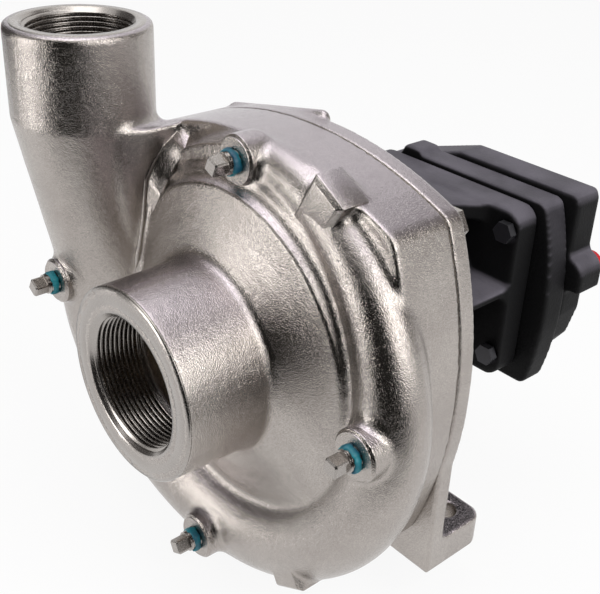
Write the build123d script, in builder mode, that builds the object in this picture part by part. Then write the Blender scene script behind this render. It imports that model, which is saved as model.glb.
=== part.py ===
from build123d import *
import os
from math import atan2, cos, radians, sin

# Centrifugal pump with a hydraulic gerotor motor, in millimetres.
# +Z is up. The pump's inlet faces -Y, its outlet faces +Z, and the motor hangs on behind, towards +Y.
# The origin lies midway between the two foot bolts, on the soles of the feet.

# Driving dimensions: the frame
AXIS_HEIGHT = 95.25
FOOT_BOLT_SPACING = 152.4
FOOT_BOLT_SETBACK = 25.5

# Driving dimensions: the volute casing, measured from the joint between casing and flange
CASING_DEPTH = 96.0
DISC_AHEAD = 46.0
DISC_DISH = 2.0
DISC_RADIUS = 74.0
GROOVE_DEPTH = 9.0
GROOVE_DRAFT = 1.0
NECK_RADIUS = 43.5
NECK_TAPER = 1.0
NECK_FILLET = 6.5
BODY_RADIUS = 88.0
RIM_DEPTH = 30.0
RIM_HALF = 93.0
RIM_BOW = 16.0
RIM_CORNER_RADIUS = 10.0
RIM_EDGE_RADIUS = 1.5
CASING_WALL = 5.0
INLET_THREAD_RADIUS = 30.15
INLET_THREAD_DEPTH = 25.0
MOUTH_CHAMFER = 0.8
OUTLET_THREAD_RADIUS = 24.13
OUTLET_THREAD_DEPTH = 23.0
OUTLET_BORE_RADIUS = 22.5
TOWER_X = -92.6
TOWER_AHEAD = 56.5
TOWER_RADIUS = 32.5
TOWER_FOOT = 83.0
TOWER_TOP = 124.5
TOWER_EDGE_RADIUS = 2.5

# Sections of the scroll, in the direction of flow: angle, centre radius, distance ahead of the joint
# and tube radius. The angle runs from the pump's right-hand side, up and over.
SCROLL_SECTIONS = [
    (135, 83.0, 28.0, 8.0),
    (90, 84.0, 28.0, 9.5),
    (45, 86.0, 30.0, 12.3),
    (0, 90.5, 34.7, 15.5),
    (-45, 92.5, 36.5, 18.8),
    (-90, 96.0, 35.5, 23.3),
    (-135, 98.5, 36.5, 27.7),
    (-180, 95.5, 40.0, 30.0),
]

# Web in the crotch between tower and scroll: height above the shaft, right-hand edge, and how far
# that edge stands ahead of the joint. At the top the edge runs back into the rim's front face.
CROTCH_SECTIONS = [
    (2.0, -72.5, 46.0),
    (38.0, -62.5, 46.0),
    (66.0, -56.0, 44.5),
    (87.0, -54.0, 28.5),
]
CROTCH_TURN = -20.0
CROTCH_HOLLOW = 3.0
CROTCH_ROOT = 2.0
CROTCH_SLOPE = 19.0
CROTCH_INSET = 0.6

# Chucking lugs: angle, outer radius, front face ahead of the joint, width
LUGS = [
    (60, 102.0, 38.0, 17.0),
    (-60, 112.0, 54.0, 19.0),
    (180, 119.0, 65.0, 19.0),
]
LUG_LENGTH = 24.0
LUG_DEPTH = 15.0
LUG_EDGE = 2.0

# Plug bosses: distance to the right of the shaft, height above it, front face ahead of the joint
PLUG_PLACES = [
    (0.0, 85.5, 41.4),
    (91.0, 0.0, 55.0),
    (0.0, -100.0, 63.0),
    (-98.0, 0.0, 74.5),
]
BOSS_RADIUS = 11.0
BOSS_DEPTH = 12.0
BOSS_EDGE = 1.5
PLUG_THREAD_RADIUS = 4.9
PLUG_DEPTH = 9.0
PLUG_NECK = 5.5
PLUG_HEAD_WIDTH = 7.1
PLUG_HEAD_LENGTH = 6.5
PLUG_CHAMFER = 0.8
BAND_THICKNESS = 0.6
BAND_LENGTH = 3.6
BAND_SETBACK = 0.3

# Driving dimensions: the impeller
IMPELLER_RADIUS = 68.0
CHAMBER_GAP = 2.0
OUTLET_WIDTH = 9.0
THROAT_MARGIN = 1.0
THROAT_RADIUS = 85.0
SHROUD_THICKNESS = 3.5
IMPELLER_BACK_GAP = 2.5
EYE_RADIUS = 27.5
EYE_RING_THICKNESS = 3.5
EYE_RING_LENGTH = 6.0
EYE_RING_END_GAP = 0.5
RUNNING_GAP = 0.3
VANE_COUNT = 6
VANE_THICKNESS = 3.0
VANE_WRAP = 100.0
VANE_ROOT_RADIUS = 22.0
VANE_ROOT_HEIGHT = 6.0
HUB_RADIUS = 14.0
HUB_FLARE_RADIUS = 24.0
NUT_WIDTH = 19.0
NUT_LENGTH = 8.0
NOSE_PROUD = 2.0
WASHER_RADIUS = 12.0
WASHER_THICKNESS = 2.0

# Driving dimensions: the mounting flange
FLANGE_THICKNESS = 9.0
SPIGOT_RADIUS = 84.0
SPIGOT_DEPTH = 14.0
SPIGOT_GAP = 0.15
CASING_RING_WIRE = 2.5
CASING_RING_SETBACK = 7.0
RING_SQUEEZE_GAP = 0.02
PILOT_RADIUS = 40.0
PILOT_HEIGHT = 4.0
PILOT_GAP = 0.1
FOOT_WIDTH = 27.0
FOOT_OUTER_X = 89.5
FOOT_THICKNESS = 16.0
FOOT_REACH = 37.5
FOOT_CORNER_RADIUS = 7.5
FOOT_LEG_TOP = -36.0
FOOT_HOLE_RADIUS = 5.15
PAD_LEFT = -70.0
PAD_RIGHT = -2.0
PAD_THICKNESS = 3.0
PAD_LEFT_TOP = 82.0
PAD_RIGHT_TOP = 96.2
PAD_FOOT = 60.0
PAD_CORNER = 3.5
SPOT_FACE_RADIUS = 10.5
SCREW_OFFSET = 68.0
SCREW_RADIUS = 4.7
SCREW_GRIP = 11.0
SCREW_HEAD_WIDTH = 14.3
SCREW_HEAD_HEIGHT = 6.0
THREAD_GAP = 0.1
HOLE_GAP = 0.3
DRILL_POINT = 1.0

# Driving dimensions: the shaft seal
SEAL_POCKET_RADIUS = 22.0
SEAT_RADIUS = 16.0
SEAT_BORE_RADIUS = 10.0
SEAT_THICKNESS = 7.5
SEAT_PROUD = 1.5
CUP_WALL = 1.8
SEAT_LIP = 2.5
LIP_BORE_RADIUS = 11.0
SEAL_FACE_GAP = 0.05
CARBON_RADIUS = 14.0
CARBON_LENGTH = 4.0
BELLOWS_LENGTH = 5.5
SEAL_BAND_RADIUS = 18.5
SEAL_BAND_AHEAD = 1.5
SEAL_BAND_BEHIND = 1.2
SPRING_RADIUS = 16.0
SPRING_WIRE = 1.6
SPRING_TURNS = 3

# Driving dimensions: the shaft
SHAFT_RADIUS = 7.94
NOSE_RADIUS = 6.0
JOURNAL_RADIUS = 8.5
JOURNAL_LEAD = 4.0
COLLAR_RADIUS = 10.5
COLLAR_WIDTH = 3.0
ROTOR_SEAT_RADIUS = 8.0
TAIL_RADIUS = 7.0
KEY_WIDTH = 4.0
IMPELLER_KEY_LENGTH = 14.0
IMPELLER_KEY_SETBACK = 3.0
SLINGER_RADIUS = 17.0
SLINGER_WIDTH = 5.0
SLINGER_SETBACK = 5.0

# Driving dimensions: the motor bracket
BRACKET_LENGTH = 91.0
BRACKET_RING_RADIUS = 54.0
BRACKET_RING_DEPTH = 10.0
BRACKET_BORE_RADIUS = 25.0
REAR_PLATE_DEPTH = 15.0
REAR_PLATE_HALF = 51.5
REAR_PLATE_TOP = 47.0
REAR_PLATE_BOTTOM = -44.0
REAR_PLATE_CORNER = 9.0
HOUSING_RADIUS = 27.0
HOUSING_SETBACK = 20.0
WEB_HALF = 19.0
WEB_TOP = 46.0
WEB_BOTTOM = -43.0
WEB_THICKNESS = 9.0
WEB_FLARE_START = 60.0
WEB_FLARE_HALF = 33.0
RIB_THICKNESS = 8.0
SIDE_RIB_HEIGHT = 5.0
SIDE_RIB_THICKNESS = 4.5
SIDE_RIB_HALF = 50.0
BRACKET_SCREW_CIRCLE = 46.5
BRACKET_SCREW_RADIUS = 3.9
BRACKET_SCREW_GRIP = 12.0
BRACKET_SCREW_HEAD_RADIUS = 6.5
BRACKET_SCREW_HEAD_HEIGHT = 8.0

# Driving dimensions: bearing, seal and rings in the bracket's housing
BEARING_RADIUS = 20.0
BEARING_WIDTH = 12.0
BEARING_SETBACK = 15.0
RACE_THICKNESS = 3.2
BALL_RADIUS = 3.15
BALL_COUNT = 8
BALL_GAP = 0.15
CAGE_THICKNESS = 1.4
CAGE_WIDTH = 7.6
CAGE_POCKET_GAP = 0.15
RETAINING_WIDTH = 1.6
RETAINING_DEPTH = 1.0
RETAINING_LIP = 3.0
LIP_SEAL_WIDTH = 7.0
LIP_SEAL_SETBACK = 1.0
COLLAR_GAP = 2.5
ROTOR_BORE_GAP = 0.4

# Driving dimensions: the gerotor
ROTOR_WIDTH = 15.0
ROTOR_SIDE_GAP = 0.04
INNER_LOBES = 6
LOBE_CIRCLE = 27.0
LOBE_RADIUS = 7.0
ECCENTRICITY = 2.6
TOOTH_GAP = 0.12
VALLEY_GAP = 0.5
RING_WALL = 5.9
RING_GAP = 0.1
PROFILE_POINTS = 72

# Driving dimensions: gerotor plate, rear cover, bolts and ports
PLATE_TOP = 49.0
PLATE_BOTTOM = -50.0
PLATE_HALF_TOP = 53.5
PLATE_HALF_BELLY = 63.5
PLATE_HALF_BOTTOM = 57.5
PLATE_BELLY = -8.0
PLATE_CORNER = 5.0
EAR_LEFT = -37.0
EAR_RIGHT = -27.0
EAR_TOP = 51.5
EAR_SLOPE_FOOT = 25.0
COVER_DEPTH = 18.0
COVER_TOP = 52.0
COVER_FLAT_LEFT = -12.0
COVER_HALF_TOP = 60.0
COVER_SHOULDER = 47.0
COVER_HALF = 62.0
COVER_WAIST = -12.0
COVER_HIP_HALF = 58.0
COVER_HIP = -29.0
COVER_FOOT_HALF = 45.0
COVER_BOTTOM = -47.0
COVER_LEFT_SHOULDER = 36.0
COVER_CORNER = 3.0
THROUGH_BOLT_X = 45.0
THROUGH_BOLT_TOP = 36.5
THROUGH_BOLT_BOTTOM = -31.0
THROUGH_BOLT_RADIUS = 3.9
THROUGH_BOLT_HEAD_WIDTH = 9.5
THROUGH_BOLT_HEAD_HEIGHT = 4.0
THROUGH_BOLT_GRIP = 11.0
SEAL_RING_RADIUS = 38.0
SEAL_RING_WIRE = 2.4
BUSH_WALL = 1.5
BUSH_LENGTH = 13.0
BUSH_GAP = 0.05
TAIL_END_GAP = 1.5
PORT_X = 61.5
PORT_HEIGHT = 11.0
PORT_BOSS_RADIUS = 9.0
PORT_BOSS_FOOT = 2.7
PORT_BORE_RADIUS = 5.7
PORT_BORE_DEPTH = 14.5
GALLERY_RADIUS = 3.5
GALLERY_LIFT = 1.0
KIDNEY_RADIUS = 21.5
KIDNEY_WIDTH = 7.0
KIDNEY_SPAN = 100.0
KIDNEY_DEPTH = 9.0
PORT_PLUG_HEAD_RADIUS = 6.5
PORT_PLUG_HEAD_LENGTH = 4.0
PORT_PLUG_LENGTH = 9.0
PORT_PLUG_WALL = 1.5
PORT_PLUG_GAP = 0.1

# Stations along the shaft, measured from the joint: negative is ahead, positive is behind
JOINT_Y = -FOOT_BOLT_SETBACK
inlet_face = -CASING_DEPTH
disc_front = -DISC_AHEAD
groove_floor = disc_front + GROOVE_DEPTH
eye_front = disc_front - DISC_DISH
eye_ring_back = eye_front + EYE_RING_LENGTH
spigot_front = -SPIGOT_DEPTH
impeller_back = spigot_front - IMPELLER_BACK_GAP
outlet_back = impeller_back - SHROUD_THICKNESS
outlet_front = outlet_back - OUTLET_WIDTH
shroud_front = outlet_front - SHROUD_THICKNESS
washer_front = outlet_front - WASHER_THICKNESS
nut_front = washer_front - NUT_LENGTH
flange_back = FLANGE_THICKNESS
pilot_back = flange_back + PILOT_HEIGHT
ring_back = flange_back + BRACKET_RING_DEPTH
housing_front = flange_back + HOUSING_SETBACK
bracket_back = flange_back + BRACKET_LENGTH
rear_plate_front = bracket_back - REAR_PLATE_DEPTH
plate_back = bracket_back + ROTOR_WIDTH
cover_back = plate_back + COVER_DEPTH
bearing_back = rear_plate_front - BEARING_SETBACK
bearing_front = bearing_back - BEARING_WIDTH
cup_back = pilot_back - SEAT_LIP
seat_back = cup_back - CUP_WALL
seat_front = seat_back - SEAT_THICKNESS
cup_front = seat_front + SEAT_PROUD
carbon_back = seat_front - SEAL_FACE_GAP
carbon_front = carbon_back - CARBON_LENGTH
bellows_front = carbon_front - BELLOWS_LENGTH
seal_band_front = carbon_front - SEAL_BAND_AHEAD
slinger_front = pilot_back + SLINGER_SETBACK
tail_back = plate_back + BUSH_LENGTH - TAIL_END_GAP
port_floor = cover_back - PORT_BORE_DEPTH

# Radii and places that follow from the sizes above
rim_corner = RIM_HALF - RIM_BOW
eye_ring_radius = EYE_RADIUS + EYE_RING_THICKNESS
chamber_radius = IMPELLER_RADIUS + CHAMBER_GAP
recess_radius = SPIGOT_RADIUS + SPIGOT_GAP
casing_ring_floor = recess_radius - CASING_RING_WIRE
cup_radius = SEAT_RADIUS + CUP_WALL
ball_circle = (BEARING_RADIUS + JOURNAL_RADIUS) / 2
outer_race_inner = BEARING_RADIUS - RACE_THICKNESS
inner_race_outer = JOURNAL_RADIUS + RACE_THICKNESS
valley_radius = LOBE_CIRCLE + 2 * ECCENTRICITY - LOBE_RADIUS + VALLEY_GAP
rotor_ring_radius = valley_radius + RING_WALL
foot_centre = FOOT_OUTER_X - FOOT_WIDTH / 2
key_level = SHAFT_RADIUS - KEY_WIDTH / 2
rotor_key_level = ROTOR_SEAT_RADIUS - KEY_WIDTH / 2

FRONT = (0, -1, 0)
HALF_SECTION = Plane(origin=(0, JOINT_Y, AXIS_HEIGHT), x_dir=(0, 1, 0), z_dir=(1, 0, 0))
SHAFT_AXIS = Axis((0, 0, AXIS_HEIGHT), (0, 1, 0))


def across(station):
    """Plane square to the shaft, seen from the front: x to the right, y up, normal forwards."""
    return Plane(origin=(0, JOINT_Y + station, AXIS_HEIGHT), x_dir=(1, 0, 0), z_dir=FRONT)


def meridian(angle):
    """Plane through the shaft at an angle: x outwards, y towards the back."""
    outward = (cos(radians(angle)), 0, sin(radians(angle)))
    onward = (-sin(radians(angle)), 0, cos(radians(angle)))
    return Plane(origin=(0, JOINT_Y, AXIS_HEIGHT), x_dir=outward, z_dir=onward)


def level(height):
    """Level plane at a height above the shaft, drawn like the scroll's last section."""
    return Plane(origin=(0, JOINT_Y, AXIS_HEIGHT + height), x_dir=(-1, 0, 0), z_dir=(0, 0, -1))


def turned(outline, mode=Mode.ADD):
    """Turn a closed outline of (station, radius) points about the shaft."""
    with BuildSketch(HALF_SECTION) as profile:
        with BuildLine():
            Polyline(*outline, close=True)
        make_face()
    revolve(profile.sketch, axis=SHAFT_AXIS, mode=mode)


def tube(front, back, inner, outer, mode=Mode.ADD):
    """Plain ring or disc about the shaft, between two stations."""
    with BuildSketch(across(back)) as profile:
        Circle(outer)
        if inner > 0:
            Circle(inner, mode=Mode.SUBTRACT)
    extrude(profile.sketch, amount=back - front, mode=mode)


def round_ring(station, radius, wire, mode=Mode.ADD):
    """Ring of round wire about the shaft."""
    with BuildSketch(HALF_SECTION) as profile:
        with Locations((station, radius)):
            Circle(wire / 2)
    revolve(profile.sketch, axis=SHAFT_AXIS, mode=mode)


def pegs(places, front, back, radius, mode=Mode.ADD):
    """Round pegs or holes along the shaft's direction, at places seen from the front."""
    with BuildSketch(across(back)) as profile:
        with places:
            Circle(radius)
    extrude(profile.sketch, amount=back - front, mode=mode)


def hexagons(places, front, back, width, mode=Mode.ADD):
    """Hexagon heads along the shaft's direction, at places seen from the front."""
    with BuildSketch(across(back)) as profile:
        with places:
            RegularPolygon(width / 2, 6, major_radius=False)
    extrude(profile.sketch, amount=back - front, mode=mode)


def rim_outline(station):
    """Square with bowed sides and round corners, shared by the casing's rim and the flange."""
    near, far = -rim_corner, rim_corner
    with BuildSketch(across(station)) as outline:
        with BuildLine():
            ThreePointArc((near, far), (0, RIM_HALF), (far, far))
            ThreePointArc((far, far), (RIM_HALF, 0), (far, near))
            ThreePointArc((far, near), (0, -RIM_HALF), (near, near))
            ThreePointArc((near, near), (-RIM_HALF, 0), (near, far))
        make_face()
        fillet(outline.vertices(), RIM_CORNER_RADIUS)
    return outline.sketch


def round_section(plane, along, ahead, radius):
    """Round section on a plane, for the lofts of the scroll and the tower."""
    with BuildSketch(plane) as section:
        with Locations((along, -ahead)):
            Circle(radius)
    return section.sketch


def scroll_sections(wall):
    """Sections of the scroll's tube, with a wall taken off their radius."""
    return [
        round_section(meridian(angle), radius, ahead, size - wall)
        for angle, radius, ahead, size in SCROLL_SECTIONS
    ]


def crotch_section(height, edge_x, edge_ahead):
    """Level section of the web: it leaves the tower's flank in a hollow curve and ends at its edge."""
    share = min(height / TOWER_FOOT, 1)
    centre_x = -last_radius + (TOWER_X + last_radius) * share
    centre_ahead = last_ahead + (TOWER_AHEAD - last_ahead) * share
    radius = last_size + (TOWER_RADIUS - last_size) * share - CROTCH_ROOT
    leave_x = -centre_x - radius * cos(radians(CROTCH_TURN))
    leave_y = -centre_ahead + radius * sin(radians(CROTCH_TURN))
    with BuildSketch(level(height)) as section:
        with BuildLine():
            Line((-centre_x, -centre_ahead), (leave_x, leave_y))
            SagittaArc((leave_x, leave_y), (-edge_x, -edge_ahead), CROTCH_HOLLOW)
            Polyline((-edge_x, -edge_ahead), (-edge_x, spigot_front), (rim_corner, spigot_front))
            Line((rim_corner, spigot_front), (-centre_x, -centre_ahead))
        make_face()
    return section.sketch


def polar(radius, angle):
    """Point at a radius and an angle in degrees."""
    return (radius * cos(radians(angle)), radius * sin(radians(angle)))


def screw_places():
    """Four corners where the flange is screwed to the casing."""
    return GridLocations(2 * SCREW_OFFSET, 2 * SCREW_OFFSET, 2, 2)


def bracket_screw_places():
    """Circle of screws that holds the bracket to the flange, clear of the webs."""
    return PolarLocations(BRACKET_SCREW_CIRCLE, 4, start_angle=45)


def through_bolt_places():
    """Corners of the motor, where the bolts pass through its plates."""
    heights = (THROUGH_BOLT_TOP, THROUGH_BOLT_BOTTOM)
    return Locations(*[(side * THROUGH_BOLT_X, height) for side in (-1, 1) for height in heights])


def port_places():
    """Centres of the two ports, on either side of the rear cover."""
    return Locations((-PORT_X, PORT_HEIGHT), (PORT_X, PORT_HEIGHT))


def rotor_point(turn):
    """Point of the inner rotor's profile: the path of a lobe's centre, moved in by the lobe's radius."""
    teeth = INNER_LOBES + 1
    inset = LOBE_RADIUS + TOOTH_GAP
    slow = radians(90 + turn)
    fast = radians(90 + teeth * turn)
    path_x = LOBE_CIRCLE * cos(slow) + ECCENTRICITY * cos(fast)
    path_y = LOBE_CIRCLE * sin(slow) + ECCENTRICITY * sin(fast)
    along_x = -LOBE_CIRCLE * sin(slow) - teeth * ECCENTRICITY * sin(fast)
    along_y = LOBE_CIRCLE * cos(slow) + teeth * ECCENTRICITY * cos(fast)
    heading = atan2(along_y, along_x)
    return (path_x - inset * sin(heading), path_y + inset * cos(heading))


last_radius, last_ahead, last_size = SCROLL_SECTIONS[-1][1:]
os.makedirs("parts", exist_ok=True)

# Web in the crotch, cut off just below the line of the rim's top
with BuildPart() as crotch_web:
    loft([crotch_section(*place) for place in CROTCH_SECTIONS])
    slope = radians(CROTCH_SLOPE)
    web_corner = (-rim_corner, JOINT_Y, AXIS_HEIGHT + rim_corner - CROTCH_INSET)
    split(bisect_by=Plane(origin=web_corner, z_dir=(-sin(slope), 0, cos(slope))), keep=Keep.BOTTOM)

# Volute casing: outer form
with BuildPart() as volute_casing:
    extrude(rim_outline(0), amount=RIM_DEPTH)
    fillet(volute_casing.faces().sort_by(Axis.Y)[0].edges(), RIM_EDGE_RADIUS)
    with BuildSketch(HALF_SECTION):
        with BuildLine() as body_line:
            Polyline(
                (inlet_face, 0),
                (inlet_face, NECK_RADIUS - NECK_TAPER),
                (eye_front, NECK_RADIUS),
                (disc_front, DISC_RADIUS),
                (groove_floor, DISC_RADIUS + GROOVE_DRAFT),
                (groove_floor, BODY_RADIUS),
                (spigot_front, BODY_RADIUS),
                (spigot_front, 0),
                close=True,
            )
            fillet(body_line.vertices().sort_by_distance((eye_front, NECK_RADIUS))[0], NECK_FILLET)
        make_face()
    revolve(axis=SHAFT_AXIS)
    loft(scroll_sections(0))
    loft(
        [
            round_section(level(0), last_radius, last_ahead, last_size),
            round_section(level(TOWER_FOOT), -TOWER_X, TOWER_AHEAD, TOWER_RADIUS),
        ]
    )
    tower_top = round_section(level(TOWER_TOP), -TOWER_X, TOWER_AHEAD, TOWER_RADIUS)
    extrude(tower_top, amount=TOWER_TOP - TOWER_FOOT)
    fillet(volute_casing.faces().sort_by(Axis.Z)[-1].edges(), TOWER_EDGE_RADIUS)
    add(crotch_web.part)
    for angle, reach, ahead, width in LUGS:
        lug_place = PolarLocations(reach - LUG_LENGTH / 2, 1, start_angle=angle)
        with BuildSketch(across(LUG_DEPTH - ahead)):
            with lug_place:
                Rectangle(LUG_LENGTH, width)
        extrude(amount=LUG_DEPTH - LUG_EDGE)
        with BuildSketch(across(LUG_EDGE - ahead)):
            with lug_place:
                Rectangle(LUG_LENGTH, width)
        extrude(amount=LUG_EDGE, taper=45)
    for right, up, ahead in PLUG_PLACES:
        plug_place = Locations((right, up))
        pegs(plug_place, BOSS_EDGE - ahead, BOSS_DEPTH - ahead, BOSS_RADIUS)
        with BuildSketch(across(BOSS_EDGE - ahead)):
            with plug_place:
                Circle(BOSS_RADIUS)
        extrude(amount=BOSS_EDGE, taper=45)

    # Volute casing: water passage, impeller chamber, recess for the flange's spigot, threaded mouths
    loft(scroll_sections(CASING_WALL), mode=Mode.SUBTRACT)
    loft(
        [
            round_section(level(0), last_radius, last_ahead, last_size - CASING_WALL),
            round_section(level(TOWER_FOOT), -TOWER_X, TOWER_AHEAD, OUTLET_BORE_RADIUS),
        ],
        mode=Mode.SUBTRACT,
    )
    tower_bore = round_section(level(TOWER_TOP), -TOWER_X, TOWER_AHEAD, OUTLET_BORE_RADIUS)
    extrude(tower_bore, amount=TOWER_TOP - TOWER_FOOT, mode=Mode.SUBTRACT)
    outlet_thread = round_section(level(TOWER_TOP), -TOWER_X, TOWER_AHEAD, OUTLET_THREAD_RADIUS)
    extrude(outlet_thread, amount=OUTLET_THREAD_DEPTH, mode=Mode.SUBTRACT)
    turned(
        [
            (inlet_face, 0),
            (inlet_face, INLET_THREAD_RADIUS + MOUTH_CHAMFER),
            (inlet_face + MOUTH_CHAMFER, INLET_THREAD_RADIUS),
            (inlet_face + INLET_THREAD_DEPTH, INLET_THREAD_RADIUS),
            (inlet_face + INLET_THREAD_DEPTH, EYE_RADIUS),
            (eye_front, EYE_RADIUS),
            (eye_front, eye_ring_radius + RUNNING_GAP),
            (eye_ring_back, eye_ring_radius + RUNNING_GAP),
            (shroud_front - CHAMBER_GAP, chamber_radius),
            (outlet_front - THROAT_MARGIN, chamber_radius),
            (outlet_front - THROAT_MARGIN, THROAT_RADIUS),
            (outlet_back + THROAT_MARGIN, THROAT_RADIUS),
            (outlet_back + THROAT_MARGIN, chamber_radius),
            (spigot_front, chamber_radius),
            (spigot_front, recess_radius),
            (0, recess_radius),
            (0, 0),
        ],
        mode=Mode.SUBTRACT,
    )
    for right, up, ahead in PLUG_PLACES:
        plug_place = Locations((right, up))
        pegs(plug_place, -ahead, BOSS_DEPTH - ahead, PLUG_THREAD_RADIUS + THREAD_GAP, Mode.SUBTRACT)
    pegs(screw_places(), -SCREW_GRIP - DRILL_POINT, 0, SCREW_RADIUS + THREAD_GAP, Mode.SUBTRACT)
volute_casing.part.label = "volute_casing"
export_step(volute_casing.part, "parts/volute_casing.step")

# Square-head plugs in the casing's bosses
with BuildPart() as drain_plugs:
    for right, up, ahead in PLUG_PLACES:
        plug_place = Locations((right, up))
        pegs(plug_place, -ahead - PLUG_NECK, PLUG_DEPTH - ahead, PLUG_THREAD_RADIUS)
        with BuildSketch(across(-ahead - PLUG_NECK)):
            with Locations((right, up)):
                Rectangle(PLUG_HEAD_WIDTH, PLUG_HEAD_WIDTH)
        extrude(amount=PLUG_HEAD_LENGTH)
        with BuildSketch(across(-ahead - PLUG_NECK - PLUG_HEAD_LENGTH)):
            with Locations((right, up)):
                Rectangle(PLUG_HEAD_WIDTH, PLUG_HEAD_WIDTH)
        extrude(amount=PLUG_CHAMFER, taper=45)
drain_plugs.part.label = "drain_plugs"
export_step(drain_plugs.part, "parts/drain_plugs.step")

# Bands of thread sealant on the plugs
with BuildPart() as sealant_bands:
    for right, up, ahead in PLUG_PLACES:
        with BuildSketch(across(-ahead - BAND_SETBACK)):
            with Locations((right, up)):
                Circle(PLUG_THREAD_RADIUS + BAND_THICKNESS)
                Circle(PLUG_THREAD_RADIUS, mode=Mode.SUBTRACT)
        extrude(amount=BAND_LENGTH)
sealant_bands.part.label = "sealant_bands"
export_step(sealant_bands.part, "parts/sealant_bands.step")

# O-ring between the casing and the flange's spigot
with BuildPart() as casing_ring:
    round_ring(
        -CASING_RING_SETBACK,
        casing_ring_floor + CASING_RING_WIRE / 2,
        CASING_RING_WIRE - 2 * RING_SQUEEZE_GAP,
    )
casing_ring.part.label = "casing_ring"
export_step(casing_ring.part, "parts/casing_ring.step")

# Mounting flange with its feet, spigot, seal pocket and motor pilot
with BuildPart() as mounting_flange:
    with BuildSketch(Plane.XY):
        with Locations((-foot_centre, JOINT_Y + FOOT_REACH / 2), (foot_centre, JOINT_Y + FOOT_REACH / 2)):
            Rectangle(FOOT_WIDTH, FOOT_REACH)
    extrude(amount=FOOT_THICKNESS)
    foot_corners = mounting_flange.edges().filter_by(Axis.Z).group_by(Axis.Y)[-1]
    fillet(foot_corners, FOOT_CORNER_RADIUS)
    with BuildSketch(Plane.XY):
        with Locations((-FOOT_BOLT_SPACING / 2, 0), (FOOT_BOLT_SPACING / 2, 0)):
            Circle(FOOT_HOLE_RADIUS)
    extrude(amount=FOOT_THICKNESS, mode=Mode.SUBTRACT)
    leg_height = AXIS_HEIGHT + FOOT_LEG_TOP
    with BuildSketch(across(flange_back)):
        leg_level = leg_height / 2 - AXIS_HEIGHT
        with Locations((-foot_centre, leg_level), (foot_centre, leg_level)):
            Rectangle(FOOT_WIDTH, leg_height)
    extrude(amount=FLANGE_THICKNESS)
    extrude(rim_outline(flange_back), amount=FLANGE_THICKNESS)
    with BuildSketch(across(flange_back + PAD_THICKNESS)) as pad_sketch:
        with BuildLine():
            Polyline(
                (PAD_LEFT, PAD_FOOT),
                (PAD_LEFT, PAD_LEFT_TOP),
                (PAD_RIGHT, PAD_RIGHT_TOP),
                (PAD_RIGHT, PAD_FOOT),
                close=True,
            )
        make_face()
        fillet(pad_sketch.vertices().sort_by(Axis.Y)[-2:], PAD_CORNER)
    extrude(amount=PAD_THICKNESS)
    pegs(screw_places(), flange_back, FOOT_REACH, SPOT_FACE_RADIUS, Mode.SUBTRACT)
    tube(spigot_front, 0, 0, SPIGOT_RADIUS)
    tube(flange_back, pilot_back, 0, PILOT_RADIUS)
    tube(
        -CASING_RING_SETBACK - CASING_RING_WIRE / 2,
        -CASING_RING_SETBACK + CASING_RING_WIRE / 2,
        casing_ring_floor,
        SPIGOT_RADIUS + SPIGOT_GAP,
        Mode.SUBTRACT,
    )
    turned(
        [
            (spigot_front, 0),
            (spigot_front, SEAL_POCKET_RADIUS),
            (cup_front, SEAL_POCKET_RADIUS),
            (cup_front, cup_radius),
            (cup_back, cup_radius),
            (cup_back, LIP_BORE_RADIUS),
            (pilot_back, LIP_BORE_RADIUS),
            (pilot_back, 0),
        ],
        mode=Mode.SUBTRACT,
    )
    pegs(screw_places(), 0, flange_back, SCREW_RADIUS + HOLE_GAP, Mode.SUBTRACT)
    pegs(
        bracket_screw_places(),
        flange_back - BRACKET_SCREW_GRIP - DRILL_POINT,
        flange_back,
        BRACKET_SCREW_RADIUS + THREAD_GAP,
        Mode.SUBTRACT,
    )
mounting_flange.part.label = "mounting_flange"
export_step(mounting_flange.part, "parts/mounting_flange.step")

# Screws that hold the casing, put in from behind the flange
with BuildPart() as casing_screws:
    pegs(screw_places(), -SCREW_GRIP, flange_back, SCREW_RADIUS)
    hexagons(screw_places(), flange_back, flange_back + SCREW_HEAD_HEIGHT, SCREW_HEAD_WIDTH)
casing_screws.part.label = "casing_screws"
export_step(casing_screws.part, "parts/casing_screws.step")

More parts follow.
